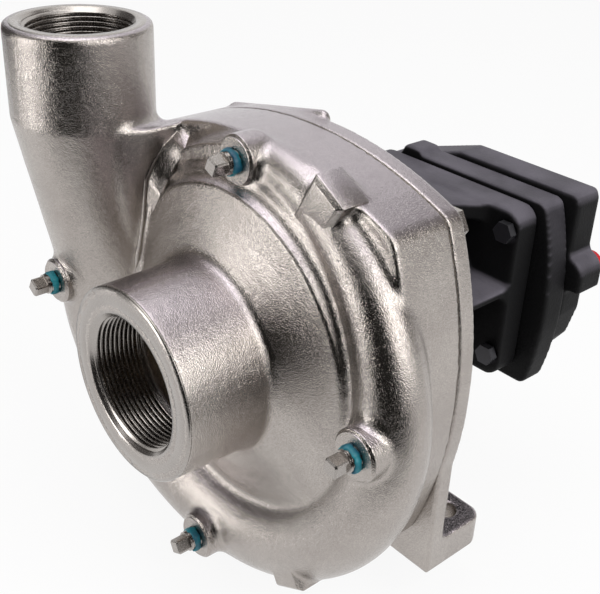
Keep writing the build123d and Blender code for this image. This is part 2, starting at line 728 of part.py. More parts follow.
# Closed impeller: the vanes are cut to the space between the two shrouds before these are added
with BuildPart() as impeller:
    vane_mid_radius = (VANE_ROOT_RADIUS + IMPELLER_RADIUS) / 2
    with BuildSketch(across(outlet_back)):
        for index in range(VANE_COUNT):
            start = 360 / VANE_COUNT * index
            with BuildLine():
                ThreePointArc(
                    polar(VANE_ROOT_RADIUS, start),
                    polar(vane_mid_radius, start + VANE_WRAP / 2),
                    polar(IMPELLER_RADIUS, start + VANE_WRAP),
                )
            trace(line_width=VANE_THICKNESS)
    extrude(amount=OUTLET_WIDTH + EYE_RING_LENGTH)
    turned(
        [
            (outlet_back, 0),
            (outlet_front - VANE_ROOT_HEIGHT, 0),
            (outlet_front - VANE_ROOT_HEIGHT, EYE_RADIUS),
            (outlet_front, IMPELLER_RADIUS),
            (outlet_back, IMPELLER_RADIUS),
        ],
        mode=Mode.INTERSECT,
    )
    turned(
        [
            (outlet_back, 0),
            (outlet_front, 0),
            (outlet_front, HUB_RADIUS),
            (outlet_back, HUB_FLARE_RADIUS),
            (outlet_back, IMPELLER_RADIUS),
            (impeller_back, IMPELLER_RADIUS),
            (impeller_back, HUB_RADIUS),
            (bellows_front, HUB_RADIUS),
            (bellows_front, 0),
        ]
    )
    turned(
        [
            (eye_front + EYE_RING_END_GAP, EYE_RADIUS),
            (eye_front + EYE_RING_END_GAP, eye_ring_radius),
            (eye_ring_back + CHAMBER_GAP, eye_ring_radius),
            (shroud_front, IMPELLER_RADIUS),
            (outlet_front, IMPELLER_RADIUS),
            (outlet_front - VANE_ROOT_HEIGHT, EYE_RADIUS),
        ]
    )
    tube(nut_front, bellows_front, 0, SHAFT_RADIUS, Mode.SUBTRACT)
    with BuildSketch(across(outlet_front + IMPELLER_KEY_SETBACK + IMPELLER_KEY_LENGTH)):
        with Locations((0, key_level + KEY_WIDTH / 2)):
            Rectangle(KEY_WIDTH, KEY_WIDTH)
    extrude(amount=IMPELLER_KEY_LENGTH + IMPELLER_KEY_SETBACK, mode=Mode.SUBTRACT)
impeller.part.label = "impeller"
export_step(impeller.part, "parts/impeller.step")

# Washer and nut on the shaft's nose
with BuildPart() as impeller_washer:
    tube(washer_front, outlet_front, NOSE_RADIUS, WASHER_RADIUS)
impeller_washer.part.label = "impeller_washer"
export_step(impeller_washer.part, "parts/impeller_washer.step")

with BuildPart() as impeller_nut:
    hexagons(Locations((0, 0)), nut_front, washer_front, NUT_WIDTH)
    tube(nut_front, washer_front, 0, NOSE_RADIUS, Mode.SUBTRACT)
impeller_nut.part.label = "impeller_nut"
export_step(impeller_nut.part, "parts/impeller_nut.step")

# Key between shaft and impeller
with BuildPart() as impeller_key:
    with BuildSketch(across(outlet_front + IMPELLER_KEY_SETBACK + IMPELLER_KEY_LENGTH)):
        with Locations((0, key_level + KEY_WIDTH / 2)):
            Rectangle(KEY_WIDTH, KEY_WIDTH)
    extrude(amount=IMPELLER_KEY_LENGTH)
impeller_key.part.label = "impeller_key"
export_step(impeller_key.part, "parts/impeller_key.step")

# Mechanical shaft seal: still seat in its rubber cup, turning carbon, bellows, band and spring
with BuildPart() as seal_seat:
    tube(seat_front, seat_back, SEAT_BORE_RADIUS, SEAT_RADIUS)
seal_seat.part.label = "seal_seat"
export_step(seal_seat.part, "parts/seal_seat.step")

with BuildPart() as seal_cup:
    tube(cup_front, cup_back, SEAT_RADIUS, cup_radius)
    tube(seat_back, cup_back, LIP_BORE_RADIUS, cup_radius)
seal_cup.part.label = "seal_cup"
export_step(seal_cup.part, "parts/seal_cup.step")

with BuildPart() as seal_carbon:
    tube(carbon_front, carbon_back, SHAFT_RADIUS, CARBON_RADIUS)
seal_carbon.part.label = "seal_carbon"
export_step(seal_carbon.part, "parts/seal_carbon.step")

with BuildPart() as seal_bellows:
    tube(bellows_front, carbon_front, SHAFT_RADIUS, CARBON_RADIUS)
seal_bellows.part.label = "seal_bellows"
export_step(seal_bellows.part, "parts/seal_bellows.step")

with BuildPart() as seal_band:
    tube(seal_band_front, carbon_front + SEAL_BAND_BEHIND, CARBON_RADIUS, SEAL_BAND_RADIUS)
seal_band.part.label = "seal_band"
export_step(seal_band.part, "parts/seal_band.step")

spring_room = seal_band_front - impeller_back - SPRING_WIRE
with BuildPart() as seal_spring:
    with BuildLine() as spring_line:
        Helix(
            pitch=spring_room / SPRING_TURNS,
            height=spring_room,
            radius=SPRING_RADIUS,
            center=(0, JOINT_Y + impeller_back + SPRING_WIRE / 2, AXIS_HEIGHT),
            direction=(0, 1, 0),
        )
    with BuildSketch(Plane(origin=spring_line.line @ 0, z_dir=spring_line.line % 0)):
        Circle(SPRING_WIRE / 2)
    sweep()
seal_spring.part.label = "seal_spring"
export_step(seal_spring.part, "parts/seal_spring.step")

# Motor shaft
with BuildPart() as motor_shaft:
    turned(
        [
            (nut_front - NOSE_PROUD, 0),
            (nut_front - NOSE_PROUD, NOSE_RADIUS),
            (outlet_front, NOSE_RADIUS),
            (outlet_front, SHAFT_RADIUS),
            (housing_front - JOURNAL_LEAD, SHAFT_RADIUS),
            (housing_front - JOURNAL_LEAD, JOURNAL_RADIUS),
            (bearing_back, JOURNAL_RADIUS),
            (bearing_back, COLLAR_RADIUS),
            (bearing_back + COLLAR_WIDTH, COLLAR_RADIUS),
            (bearing_back + COLLAR_WIDTH, ROTOR_SEAT_RADIUS),
            (plate_back, ROTOR_SEAT_RADIUS),
            (plate_back, TAIL_RADIUS),
            (tail_back, TAIL_RADIUS),
            (tail_back, 0),
        ]
    )
    with BuildSketch(across(outlet_front + IMPELLER_KEY_SETBACK + IMPELLER_KEY_LENGTH)):
        with Locations((0, key_level + KEY_WIDTH / 2)):
            Rectangle(KEY_WIDTH, KEY_WIDTH)
    extrude(amount=IMPELLER_KEY_LENGTH, mode=Mode.SUBTRACT)
    with BuildSketch(across(plate_back)):
        with Locations((0, rotor_key_level + KEY_WIDTH / 2)):
            Rectangle(KEY_WIDTH, KEY_WIDTH)
    extrude(amount=ROTOR_WIDTH, mode=Mode.SUBTRACT)
motor_shaft.part.label = "motor_shaft"
export_step(motor_shaft.part, "parts/motor_shaft.step")

# Slinger on the shaft, in the bracket's open bay
with BuildPart() as slinger:
    tube(slinger_front, slinger_front + SLINGER_WIDTH, SHAFT_RADIUS, SLINGER_RADIUS)
    chamfer(slinger.edges().group_by(Axis.Y)[-1].sort_by(SortBy.RADIUS)[-1], SLINGER_WIDTH / 2)
slinger.part.label = "slinger"
export_step(slinger.part, "parts/slinger.step")

# Motor bracket: ring, webs and ribs, bearing housing and rear plate
with BuildPart() as motor_bracket:
    with BuildSketch(across(bracket_back)):
        with BuildLine():
            Polyline(
                (-REAR_PLATE_HALF, REAR_PLATE_BOTTOM),
                (-REAR_PLATE_HALF, REAR_PLATE_TOP),
                (REAR_PLATE_HALF, REAR_PLATE_TOP),
                (REAR_PLATE_HALF, REAR_PLATE_BOTTOM),
                close=True,
            )
        make_face()
    extrude(amount=REAR_PLATE_DEPTH)
    fillet(motor_bracket.edges().filter_by(Axis.Y), REAR_PLATE_CORNER)
    tube(flange_back, ring_back, 0, BRACKET_RING_RADIUS)
    tube(housing_front, rear_plate_front, 0, HOUSING_RADIUS)
    flare_y = JOINT_Y + flange_back + WEB_FLARE_START
    ring_y = JOINT_Y + flange_back
    rear_y = JOINT_Y + rear_plate_front
    for web_level in (WEB_TOP - WEB_THICKNESS, WEB_BOTTOM):
        with BuildSketch(Plane.XY.offset(AXIS_HEIGHT + web_level)):
            with BuildLine():
                Polyline(
                    (-WEB_HALF, ring_y),
                    (-WEB_HALF, flare_y),
                    (-WEB_FLARE_HALF, rear_y),
                    (WEB_FLARE_HALF, rear_y),
                    (WEB_HALF, flare_y),
                    (WEB_HALF, ring_y),
                    close=True,
                )
            make_face()
        extrude(amount=WEB_THICKNESS)
    with BuildSketch(across(rear_plate_front)):
        with BuildLine():
            Polyline(
                (-RIB_THICKNESS / 2, WEB_BOTTOM),
                (-RIB_THICKNESS / 2, WEB_TOP),
                (RIB_THICKNESS / 2, WEB_TOP),
                (RIB_THICKNESS / 2, WEB_BOTTOM),
                close=True,
            )
        make_face()
        with Locations((0, SIDE_RIB_HEIGHT)):
            Rectangle(2 * SIDE_RIB_HALF, SIDE_RIB_THICKNESS)
    extrude(amount=rear_plate_front - ring_back)
    turned(
        [
            (flange_back, 0),
            (flange_back, PILOT_RADIUS + PILOT_GAP),
            (pilot_back + PILOT_GAP, PILOT_RADIUS + PILOT_GAP),
            (pilot_back + PILOT_GAP, BRACKET_BORE_RADIUS),
            (housing_front, BRACKET_BORE_RADIUS),
            (housing_front, BEARING_RADIUS),
            (bearing_back, BEARING_RADIUS),
            (bearing_back, COLLAR_RADIUS + COLLAR_GAP),
            (bearing_back + COLLAR_WIDTH + COLLAR_GAP, COLLAR_RADIUS + COLLAR_GAP),
            (bearing_back + COLLAR_WIDTH + COLLAR_GAP, ROTOR_SEAT_RADIUS + ROTOR_BORE_GAP),
            (bracket_back, ROTOR_SEAT_RADIUS + ROTOR_BORE_GAP),
            (bracket_back, 0),
        ],
        mode=Mode.SUBTRACT,
    )
    tube(bearing_front - RETAINING_WIDTH, bearing_front, 0, BEARING_RADIUS + RETAINING_DEPTH, Mode.SUBTRACT)
    pegs(bracket_screw_places(), flange_back, ring_back, BRACKET_SCREW_RADIUS + HOLE_GAP, Mode.SUBTRACT)
    pegs(
        through_bolt_places(),
        rear_plate_front,
        bracket_back,
        THROUGH_BOLT_RADIUS + HOLE_GAP,
        Mode.SUBTRACT,
    )
motor_bracket.part.label = "motor_bracket"
export_step(motor_bracket.part, "parts/motor_bracket.step")

# Screws that hold the bracket to the flange
with BuildPart() as bracket_screws:
    pegs(bracket_screw_places(), flange_back - BRACKET_SCREW_GRIP, ring_back, BRACKET_SCREW_RADIUS)
    pegs(
        bracket_screw_places(),
        ring_back,
        ring_back + BRACKET_SCREW_HEAD_HEIGHT,
        BRACKET_SCREW_HEAD_RADIUS,
    )
bracket_screws.part.label = "bracket_screws"
export_step(bracket_screws.part, "parts/bracket_screws.step")

# Lip seal, retaining ring and ball bearing in the bracket's housing
with BuildPart() as lip_seal:
    lip_front = housing_front + LIP_SEAL_SETBACK
    tube(lip_front, lip_front + LIP_SEAL_WIDTH, JOURNAL_RADIUS + RUNNING_GAP, BEARING_RADIUS)
lip_seal.part.label = "lip_seal"
export_step(lip_seal.part, "parts/lip_seal.step")

with BuildPart() as retaining_ring:
    tube(
        bearing_front - RETAINING_WIDTH,
        bearing_front,
        BEARING_RADIUS - RETAINING_LIP,
        BEARING_RADIUS + RETAINING_DEPTH,
    )
retaining_ring.part.label = "retaining_ring"
export_step(retaining_ring.part, "parts/retaining_ring.step")

ball_station = bearing_front + BEARING_WIDTH / 2
with BuildPart() as bearing_outer_race:
    tube(bearing_front, bearing_back, outer_race_inner, BEARING_RADIUS)
    round_ring(ball_station, ball_circle, 2 * (BALL_RADIUS + BALL_GAP), Mode.SUBTRACT)
bearing_outer_race.part.label = "bearing_outer_race"
export_step(bearing_outer_race.part, "parts/bearing_outer_race.step")

with BuildPart() as bearing_inner_race:
    tube(bearing_front, bearing_back, JOURNAL_RADIUS, inner_race_outer)
    round_ring(ball_station, ball_circle, 2 * (BALL_RADIUS + BALL_GAP), Mode.SUBTRACT)
bearing_inner_race.part.label = "bearing_inner_race"
export_step(bearing_inner_race.part, "parts/bearing_inner_race.step")

with BuildPart() as bearing_balls:
    with Locations(across(ball_station)):
        with PolarLocations(ball_circle, BALL_COUNT):
            Sphere(BALL_RADIUS)
bearing_balls.part.label = "bearing_balls"
export_step(bearing_balls.part, "parts/bearing_balls.step")

with BuildPart() as bearing_cage:
    tube(
        ball_station - CAGE_WIDTH / 2,
        ball_station + CAGE_WIDTH / 2,
        ball_circle - CAGE_THICKNESS / 2,
        ball_circle + CAGE_THICKNESS / 2,
    )
    with Locations(across(ball_station)):
        with PolarLocations(ball_circle, BALL_COUNT):
            Cylinder(BALL_RADIUS + CAGE_POCKET_GAP, CAGE_WIDTH, rotation=(0, 90, 0), mode=Mode.SUBTRACT)
bearing_cage.part.label = "bearing_cage"
export_step(bearing_cage.part, "parts/bearing_cage.step")

# Gerotor: inner rotor on the shaft's key, outer ring on its offset centre
rotor_front = bracket_back + ROTOR_SIDE_GAP
rotor_back = plate_back - ROTOR_SIDE_GAP
with BuildPart() as gerotor_key:
    with BuildSketch(across(plate_back)):
        with Locations((0, rotor_key_level + KEY_WIDTH / 2)):
            Rectangle(KEY_WIDTH, KEY_WIDTH)
    extrude(amount=ROTOR_WIDTH)
gerotor_key.part.label = "gerotor_key"
export_step(gerotor_key.part, "parts/gerotor_key.step")

with BuildPart() as gerotor_inner:
    with BuildSketch(across(rotor_back)):
        with BuildLine():
            step = 360 / PROFILE_POINTS
            Spline([rotor_point(step * index) for index in range(PROFILE_POINTS)], periodic=True)
        make_face()
        Circle(ROTOR_SEAT_RADIUS, mode=Mode.SUBTRACT)
        with Locations((0, rotor_key_level + KEY_WIDTH / 2)):
            Rectangle(KEY_WIDTH, KEY_WIDTH, mode=Mode.SUBTRACT)
    extrude(amount=rotor_back - rotor_front)
gerotor_inner.part.label = "gerotor_inner"
export_step(gerotor_inner.part, "parts/gerotor_inner.step")

with BuildPart() as gerotor_outer:
    with BuildSketch(across(rotor_back)):
        with Locations((0, ECCENTRICITY)):
            Circle(rotor_ring_radius)
            Circle(valley_radius, mode=Mode.SUBTRACT)
            with PolarLocations(LOBE_CIRCLE, INNER_LOBES + 1, start_angle=90):
                Circle(LOBE_RADIUS)
            Circle(rotor_ring_radius, mode=Mode.INTERSECT)
    extrude(amount=rotor_back - rotor_front)
gerotor_outer.part.label = "gerotor_outer"
export_step(gerotor_outer.part, "parts/gerotor_outer.step")

# Gerotor plate with its pocket, and the O-rings in its faces
with BuildPart() as gerotor_plate:
    with BuildSketch(across(plate_back)) as plate_sketch:
        with BuildLine():
            Polyline(
                (-PLATE_HALF_BOTTOM, PLATE_BOTTOM),
                (-PLATE_HALF_BELLY, PLATE_BELLY),
                (-PLATE_HALF_TOP, EAR_SLOPE_FOOT),
                (EAR_LEFT, EAR_TOP),
                (EAR_RIGHT, EAR_TOP),
                (EAR_RIGHT + (EAR_TOP - PLATE_TOP), PLATE_TOP),
                (PLATE_HALF_TOP, PLATE_TOP),
            )
            ThreePointArc(
                (PLATE_HALF_TOP, PLATE_TOP),
                (PLATE_HALF_BELLY, PLATE_BELLY),
                (PLATE_HALF_BOTTOM, PLATE_BOTTOM),
            )
            Line((PLATE_HALF_BOTTOM, PLATE_BOTTOM), (-PLATE_HALF_BOTTOM, PLATE_BOTTOM))
        make_face()
        right_corners = plate_sketch.vertices().group_by(Axis.X)[-2:]
        fillet([corner for group in right_corners for corner in group], PLATE_CORNER)
        with Locations((0, ECCENTRICITY)):
            Circle(rotor_ring_radius + RING_GAP, mode=Mode.SUBTRACT)
    extrude(amount=ROTOR_WIDTH)
    for front, back in (
        (bracket_back, bracket_back + SEAL_RING_WIRE),
        (plate_back - SEAL_RING_WIRE, plate_back),
    ):
        tube(
            front,
            back,
            SEAL_RING_RADIUS - SEAL_RING_WIRE / 2,
            SEAL_RING_RADIUS + SEAL_RING_WIRE / 2,
            Mode.SUBTRACT,
        )
    pegs(through_bolt_places(), bracket_back, plate_back, THROUGH_BOLT_RADIUS + HOLE_GAP, Mode.SUBTRACT)
gerotor_plate.part.label = "gerotor_plate"
export_step(gerotor_plate.part, "parts/gerotor_plate.step")

with BuildPart() as motor_rings:
    for station in (bracket_back + SEAL_RING_WIRE / 2, plate_back - SEAL_RING_WIRE / 2):
        round_ring(station, SEAL_RING_RADIUS, SEAL_RING_WIRE - 2 * RING_SQUEEZE_GAP)
motor_rings.part.label = "motor_rings"
export_step(motor_rings.part, "parts/motor_rings.step")

# Rear cover with its ports, the kidney slots that feed the gerotor, and the bush's bore
with BuildPart() as rear_cover:
    with BuildSketch(across(cover_back)) as cover_sketch:
        with BuildLine():
            Polyline(
                (COVER_FLAT_LEFT, COVER_TOP),
                (COVER_HALF_TOP, COVER_TOP),
                (COVER_HALF, COVER_SHOULDER),
                (COVER_HALF, COVER_WAIST),
                (COVER_HIP_HALF, COVER_HIP),
                (COVER_FOOT_HALF, COVER_BOTTOM),
                (-COVER_FOOT_HALF, COVER_BOTTOM),
                (-COVER_HIP_HALF, COVER_HIP),
                (-COVER_HALF, COVER_WAIST),
                (-COVER_HALF, COVER_LEFT_SHOULDER),
                close=True,
            )
        make_face()
        fillet(cover_sketch.vertices(), COVER_CORNER)
        with port_places():
            Circle(PORT_BOSS_RADIUS)
        with Locations((0, (PORT_BOSS_FOOT + PORT_HEIGHT) / 2)):
            Rectangle(2 * (PORT_X + PORT_BOSS_RADIUS), PORT_HEIGHT - PORT_BOSS_FOOT)
    extrude(amount=COVER_DEPTH)
    with BuildSketch(across(plate_back)):
        with Locations((0, 0)):
            SlotArc(
                CenterArc((0, 0), KIDNEY_RADIUS, -KIDNEY_SPAN / 2, KIDNEY_SPAN, mode=Mode.PRIVATE),
                KIDNEY_WIDTH,
            )
            SlotArc(
                CenterArc((0, 0), KIDNEY_RADIUS, 180 - KIDNEY_SPAN / 2, KIDNEY_SPAN, mode=Mode.PRIVATE),
                KIDNEY_WIDTH,
            )
    extrude(amount=-KIDNEY_DEPTH, mode=Mode.SUBTRACT)
    pegs(port_places(), port_floor, cover_back, PORT_BORE_RADIUS, Mode.SUBTRACT)
    gallery_y = JOINT_Y + port_floor + GALLERY_LIFT + GALLERY_RADIUS
    with BuildSketch(Plane.YZ.offset(-PORT_X), Plane.YZ.offset(KIDNEY_RADIUS)):
        with Locations((gallery_y, AXIS_HEIGHT + PORT_HEIGHT)):
            Circle(GALLERY_RADIUS)
    extrude(amount=PORT_X - KIDNEY_RADIUS, mode=Mode.SUBTRACT)
    tube(plate_back, plate_back + BUSH_LENGTH, 0, TAIL_RADIUS + BUSH_GAP + BUSH_WALL, Mode.SUBTRACT)
    pegs(
        through_bolt_places(),
        plate_back,
        plate_back + THROUGH_BOLT_GRIP + DRILL_POINT,
        THROUGH_BOLT_RADIUS + THREAD_GAP,
        Mode.SUBTRACT,
    )
rear_cover.part.label = "rear_cover"
export_step(rear_cover.part, "parts/rear_cover.step")

# Bush in the rear cover, for the shaft's tail
with BuildPart() as shaft_bush:
    tube(
        plate_back,
        plate_back + BUSH_LENGTH,
        TAIL_RADIUS + BUSH_GAP,
        TAIL_RADIUS + BUSH_GAP + BUSH_WALL,
    )
shaft_bush.part.label = "shaft_bush"
export_step(shaft_bush.part, "parts/shaft_bush.step")

# Bolts that clamp the motor's plates, heads forwards
with BuildPart() as through_bolts:
    pegs(through_bolt_places(), rear_plate_front, plate_back + THROUGH_BOLT_GRIP, THROUGH_BOLT_RADIUS)
    hexagons(
        through_bolt_places(),
        rear_plate_front - THROUGH_BOLT_HEAD_HEIGHT,
        rear_plate_front,
        THROUGH_BOLT_HEAD_WIDTH,
    )
through_bolts.part.label = "through_bolts"
export_step(through_bolts.part, "parts/through_bolts.step")

# Shipping plugs in the motor's ports
with BuildPart() as port_plugs:
    plug_skirt_radius = PORT_BORE_RADIUS - PORT_PLUG_GAP
    pegs(port_places(), cover_back, cover_back + PORT_PLUG_HEAD_LENGTH, PORT_PLUG_HEAD_RADIUS)
    pegs(port_places(), cover_back - PORT_PLUG_LENGTH, cover_back, plug_skirt_radius)
    pegs(
        port_places(),
        cover_back - PORT_PLUG_LENGTH,
        cover_back,
        plug_skirt_radius - PORT_PLUG_WALL,
        Mode.SUBTRACT,
    )
port_plugs.part.label = "port_plugs"
export_step(port_plugs.part, "parts/port_plugs.step")
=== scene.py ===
"""Looks of a stainless centrifugal pump with a black hydraulic motor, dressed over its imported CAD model.

Everything is in metres, in the CAD model's own frame: +Z up, the inlet facing -Y, the motor at +Y.
"""

import logging
import math
from dataclasses import dataclass, field
from enum import Enum
from typing import Callable, Union

import bmesh
import bpy
import numpy as np
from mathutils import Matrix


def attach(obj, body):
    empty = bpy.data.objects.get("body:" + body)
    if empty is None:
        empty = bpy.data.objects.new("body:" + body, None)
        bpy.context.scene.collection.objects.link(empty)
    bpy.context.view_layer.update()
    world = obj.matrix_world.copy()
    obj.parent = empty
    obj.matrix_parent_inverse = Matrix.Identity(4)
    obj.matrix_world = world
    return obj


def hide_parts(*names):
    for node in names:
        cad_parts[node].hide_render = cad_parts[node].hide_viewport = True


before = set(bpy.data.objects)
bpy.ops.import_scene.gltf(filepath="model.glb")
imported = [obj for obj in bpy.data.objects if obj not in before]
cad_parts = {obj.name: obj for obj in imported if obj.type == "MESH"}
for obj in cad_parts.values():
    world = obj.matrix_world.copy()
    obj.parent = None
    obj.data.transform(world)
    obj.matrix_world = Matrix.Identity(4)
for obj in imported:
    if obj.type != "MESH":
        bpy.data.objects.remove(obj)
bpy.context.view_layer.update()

import openvdb as vdb
from mathutils import Matrix, Vector
from mathutils.bvhtree import BVHTree

LOG = logging.getLogger("pump")
TURN = 2.0 * math.pi
AXIS_HEIGHT = 0.09525

Point = tuple[float, float, float]
Colour = tuple[float, float, float]
Mesh = tuple[np.ndarray, np.ndarray, np.ndarray]


class Signal:
    """A shader socket that can be used in arithmetic."""

    def __init__(self, shading: "Shading", socket: bpy.types.NodeSocket) -> None:
        """Wrap a socket.

        Args:
            shading: The node tree the socket belongs to.
            socket: The output socket.
        """
        self.shading = shading
        self.socket = socket

    def _math(self, operation: str, first: "Value", second: "Value" = 0.0) -> "Signal":
        """Result of a Math node with an operation and its two values."""
        node = self.shading.node("ShaderNodeMath", {"operation": operation}, {0: first, 1: second})
        return Signal(self.shading, node.outputs[0])

    def __add__(self, other: "Value") -> "Signal":
        """Sum of two signals."""
        return self._math("ADD", self, other)

    def __radd__(self, other: "Value") -> "Signal":
        """Sum, with the number first."""
        return self._math("ADD", other, self)

    def __sub__(self, other: "Value") -> "Signal":
        """Difference of two signals."""
        return self._math("SUBTRACT", self, other)

    def __rsub__(self, other: "Value") -> "Signal":
        """Difference, with the number first."""
        return self._math("SUBTRACT", other, self)

    def __mul__(self, other: "Value") -> "Signal":
        """Product of two signals."""
        return self._math("MULTIPLY", self, other)

    def __rmul__(self, other: "Value") -> "Signal":
        """Product, with the number first."""
        return self._math("MULTIPLY", other, self)

    def over(self, edge: float, width: float) -> "Signal":
        """Soft step: 0 below an edge, 1 above it.

        Args:
            edge: Where the step begins.
            width: How far it takes to reach 1.

        Returns:
            The step.
        """
        node = self.shading.node(
            "ShaderNodeMapRange",
            {"interpolation_type": "SMOOTHSTEP"},
            {"Value": self, "From Min": edge, "From Max": edge + width, "To Min": 0.0, "To Max": 1.0},
        )
        return Signal(self.shading, node.outputs[0])


Value = Union[Signal, float, int, tuple, bpy.types.NodeSocket]


class Shading:
    """The node tree of a material or of the world, with one method for any node."""

    def __init__(self, owner: Union[bpy.types.Material, bpy.types.World]) -> None:
        """Clear the owner's node tree.

        Args:
            owner: The material or world to shade.
        """
        owner.use_nodes = True
        self.owner = owner
        self.tree = owner.node_tree
        self.tree.nodes.clear()

    def node(self, kind: str, settings: dict = {}, inputs: dict = {}) -> bpy.types.Node:
        """Add one node.

        Args:
            kind: The node's type.
            settings: Its properties, which are set first.
            inputs: The values or links of its sockets, by name or number.

        Returns:
            The new node.
        """
        made = self.tree.nodes.new(kind)
        for name, value in settings.items():
            setattr(made, name, value)
        for name, value in inputs.items():
            socket = made.inputs[name]
            if isinstance(value, Signal):
                self.tree.links.new(value.socket, socket)
            elif isinstance(value, bpy.types.NodeSocket):
                self.tree.links.new(value, socket)
            else:
                socket.default_value = value
        return made

    def place(self) -> Signal:
        """Position on the object, in metres."""
        return Signal(self, self.node("ShaderNodeTexCoord").outputs["Object"])

    def noise(self, scale: float, detail: float = 2.0) -> Signal:
        """Grey noise from 0 to 1 over the object, with features per metre and octaves."""
        node = self.node("ShaderNodeTexNoise", {}, {"Vector": self.place(), "Scale": scale, "Detail": detail})
        return Signal(self, node.outputs[0])

    def blend(self, factor: Value, first: Value, second: Value) -> Signal:
        """Mix two colours.

        Args:
            factor: How much of the second.
            first: The first colour.
            second: The second colour.

        Returns:
            The mixed colour.
        """
        colours = [(*c, 1.0) if isinstance(c, tuple) and len(c) == 3 else c for c in (first, second)]
        node = self.node("ShaderNodeMix", {"data_type": "RGBA"}, {0: factor, 6: colours[0], 7: colours[1]})
        return Signal(self, node.outputs[2])

    def bump(self, height: Value, depth: float, under: Value = None) -> Signal:
        """Bump from a height.

        Args:
            height: The height signal.
            depth: What a height of 1 is, in metres.
            under: A normal to put it on.

        Returns:
            The bumped normal.
        """
        inputs = {"Height": height, "Distance": depth, "Strength": 1.0}
        if under is not None:
            inputs["Normal"] = under
        return Signal(self, self.node("ShaderNodeBump", {}, inputs).outputs[0])

    def upward(self) -> Signal:
        """How far the surface faces up, from -1 to 1."""
        normal = self.node("ShaderNodeNewGeometry").outputs["Normal"]
        return Signal(self, self.node("ShaderNodeSeparateXYZ", {}, {0: normal}).outputs[2])

    def surface(self, inputs: dict) -> None:
        """Close the tree with a Principled shader, given the values or links of its sockets."""
        shader = self.node("ShaderNodeBsdfPrincipled", {}, inputs)
        self.node("ShaderNodeOutputMaterial", {}, {"Surface": shader.outputs[0]})


class Finish:
    """A finish that makes its material once and gives it to pieces. Each kind of finish holds its name."""

    def shade(self, shading: Shading) -> None:
        """Build the node tree.

        Args:
            shading: The material's empty tree.
        """
        raise NotImplementedError

    def material(self) -> bpy.types.Material:
        """The finish's material, made the first time it is asked for."""
        found = bpy.data.materials.get(self.name)
        if found is None:
            found = bpy.data.materials.new(self.name)
            self.shade(Shading(found))
        return found

    def dress(self, *pieces: bpy.types.Object) -> None:
        """Put the material on pieces.

        Args:
            pieces: The objects to dress.
        """
        for piece in pieces:
            piece.data.materials.clear()
            piece.data.materials.append(self.material())


@dataclass(frozen=True)
class BlastedCasting(Finish):
    """Bead-blasted cast stainless, whose fine grain breaks up every reflection; its colour carries painted
    shade and painted glints in the grain specks, and a painted lavender sky reflection on upward faces.
    """

    name: str = "blasted_casting"
    bright: Colour = (0.46, 0.425, 0.395)
    dull: Colour = (0.38, 0.345, 0.32)
    # painted shade: dark specks standing for shade inside the blast pits
    painted_pit_shade: Colour = (0.20, 0.18, 0.17)
    # painted reflection: the lavender of the overhead sky, given to upward faces as colour
    painted_sky_reflection: Colour = (0.45, 0.405, 0.43)
    # painted highlight: bright specks standing for glints off the grain's facets
    painted_glint: Colour = (0.74, 0.69, 0.65)
    grain_scale: float = 2300.0
    grain_depth: float = 0.00019
    # how strongly the painted pit shade and painted glints show in the colour
    painted_speck_share: float = 0.24
    peel_scale: float = 260.0
    peel_depth: float = 0.00012
    smoothest: float = 0.17
    roughest: float = 0.24

    def shade(self, shading: Shading) -> None:
        """Build the node tree.

        Args:
            shading: The material's empty tree.
        """
        tone = shading.noise(28.0, 3.0)
        grain = shading.noise(self.grain_scale, 1.0)
        peel = shading.noise(self.peel_scale, 2.0)
        tint = shading.blend(tone.over(0.30, 0.45), self.dull, self.bright)
        # Painted sky reflection: upward faces are tinted lavender in the base colour.
        tint = shading.blend(shading.upward().over(0.55, 0.40), tint, self.painted_sky_reflection)
        speck = shading.noise(self.grain_scale * 1.3, 0.0)
        # Painted shade in the dark specks and painted glints in the bright specks of the grain.
        shade = shading.blend((1.0 - speck).over(0.50, 0.16) * self.painted_speck_share, tint, self.painted_pit_shade)
        shade = shading.blend(speck.over(0.56, 0.14) * self.painted_speck_share, shade, self.painted_glint)
        rough = self.smoothest + (self.roughest - self.smoothest) * tone
        relief = shading.bump(peel, self.peel_depth)
        shading.surface(
            {
                "Base Color": shade,
                "Metallic": 1.0,
                "Roughness": rough,
                "Normal": shading.bump(grain, self.grain_depth, relief),
            }
        )


@dataclass(frozen=True)
class MachinedSteel(Finish):
    """Turned or milled stainless with faint tool marks."""

    name: str = "machined_steel"
    bright: Colour = (0.44, 0.41, 0.385)
    dull: Colour = (0.35, 0.325, 0.305)
    mark_scale: float = 1900.0
    mark_depth: float = 0.000014
    roughness: float = 0.20

    def shade(self, shading: Shading) -> None:
        """Build the node tree.

        Args:
            shading: The material's empty tree.
        """
        tone = shading.noise(60.0, 3.0)
        marks = shading.noise(self.mark_scale, 2.0)
        shading.surface(
            {
                "Base Color": shading.blend(tone, self.dull, self.bright),
                "Metallic": 1.0,
                "Roughness": self.roughness + 0.12 * marks,
                "Normal": shading.bump(marks, self.mark_depth),
            }
        )


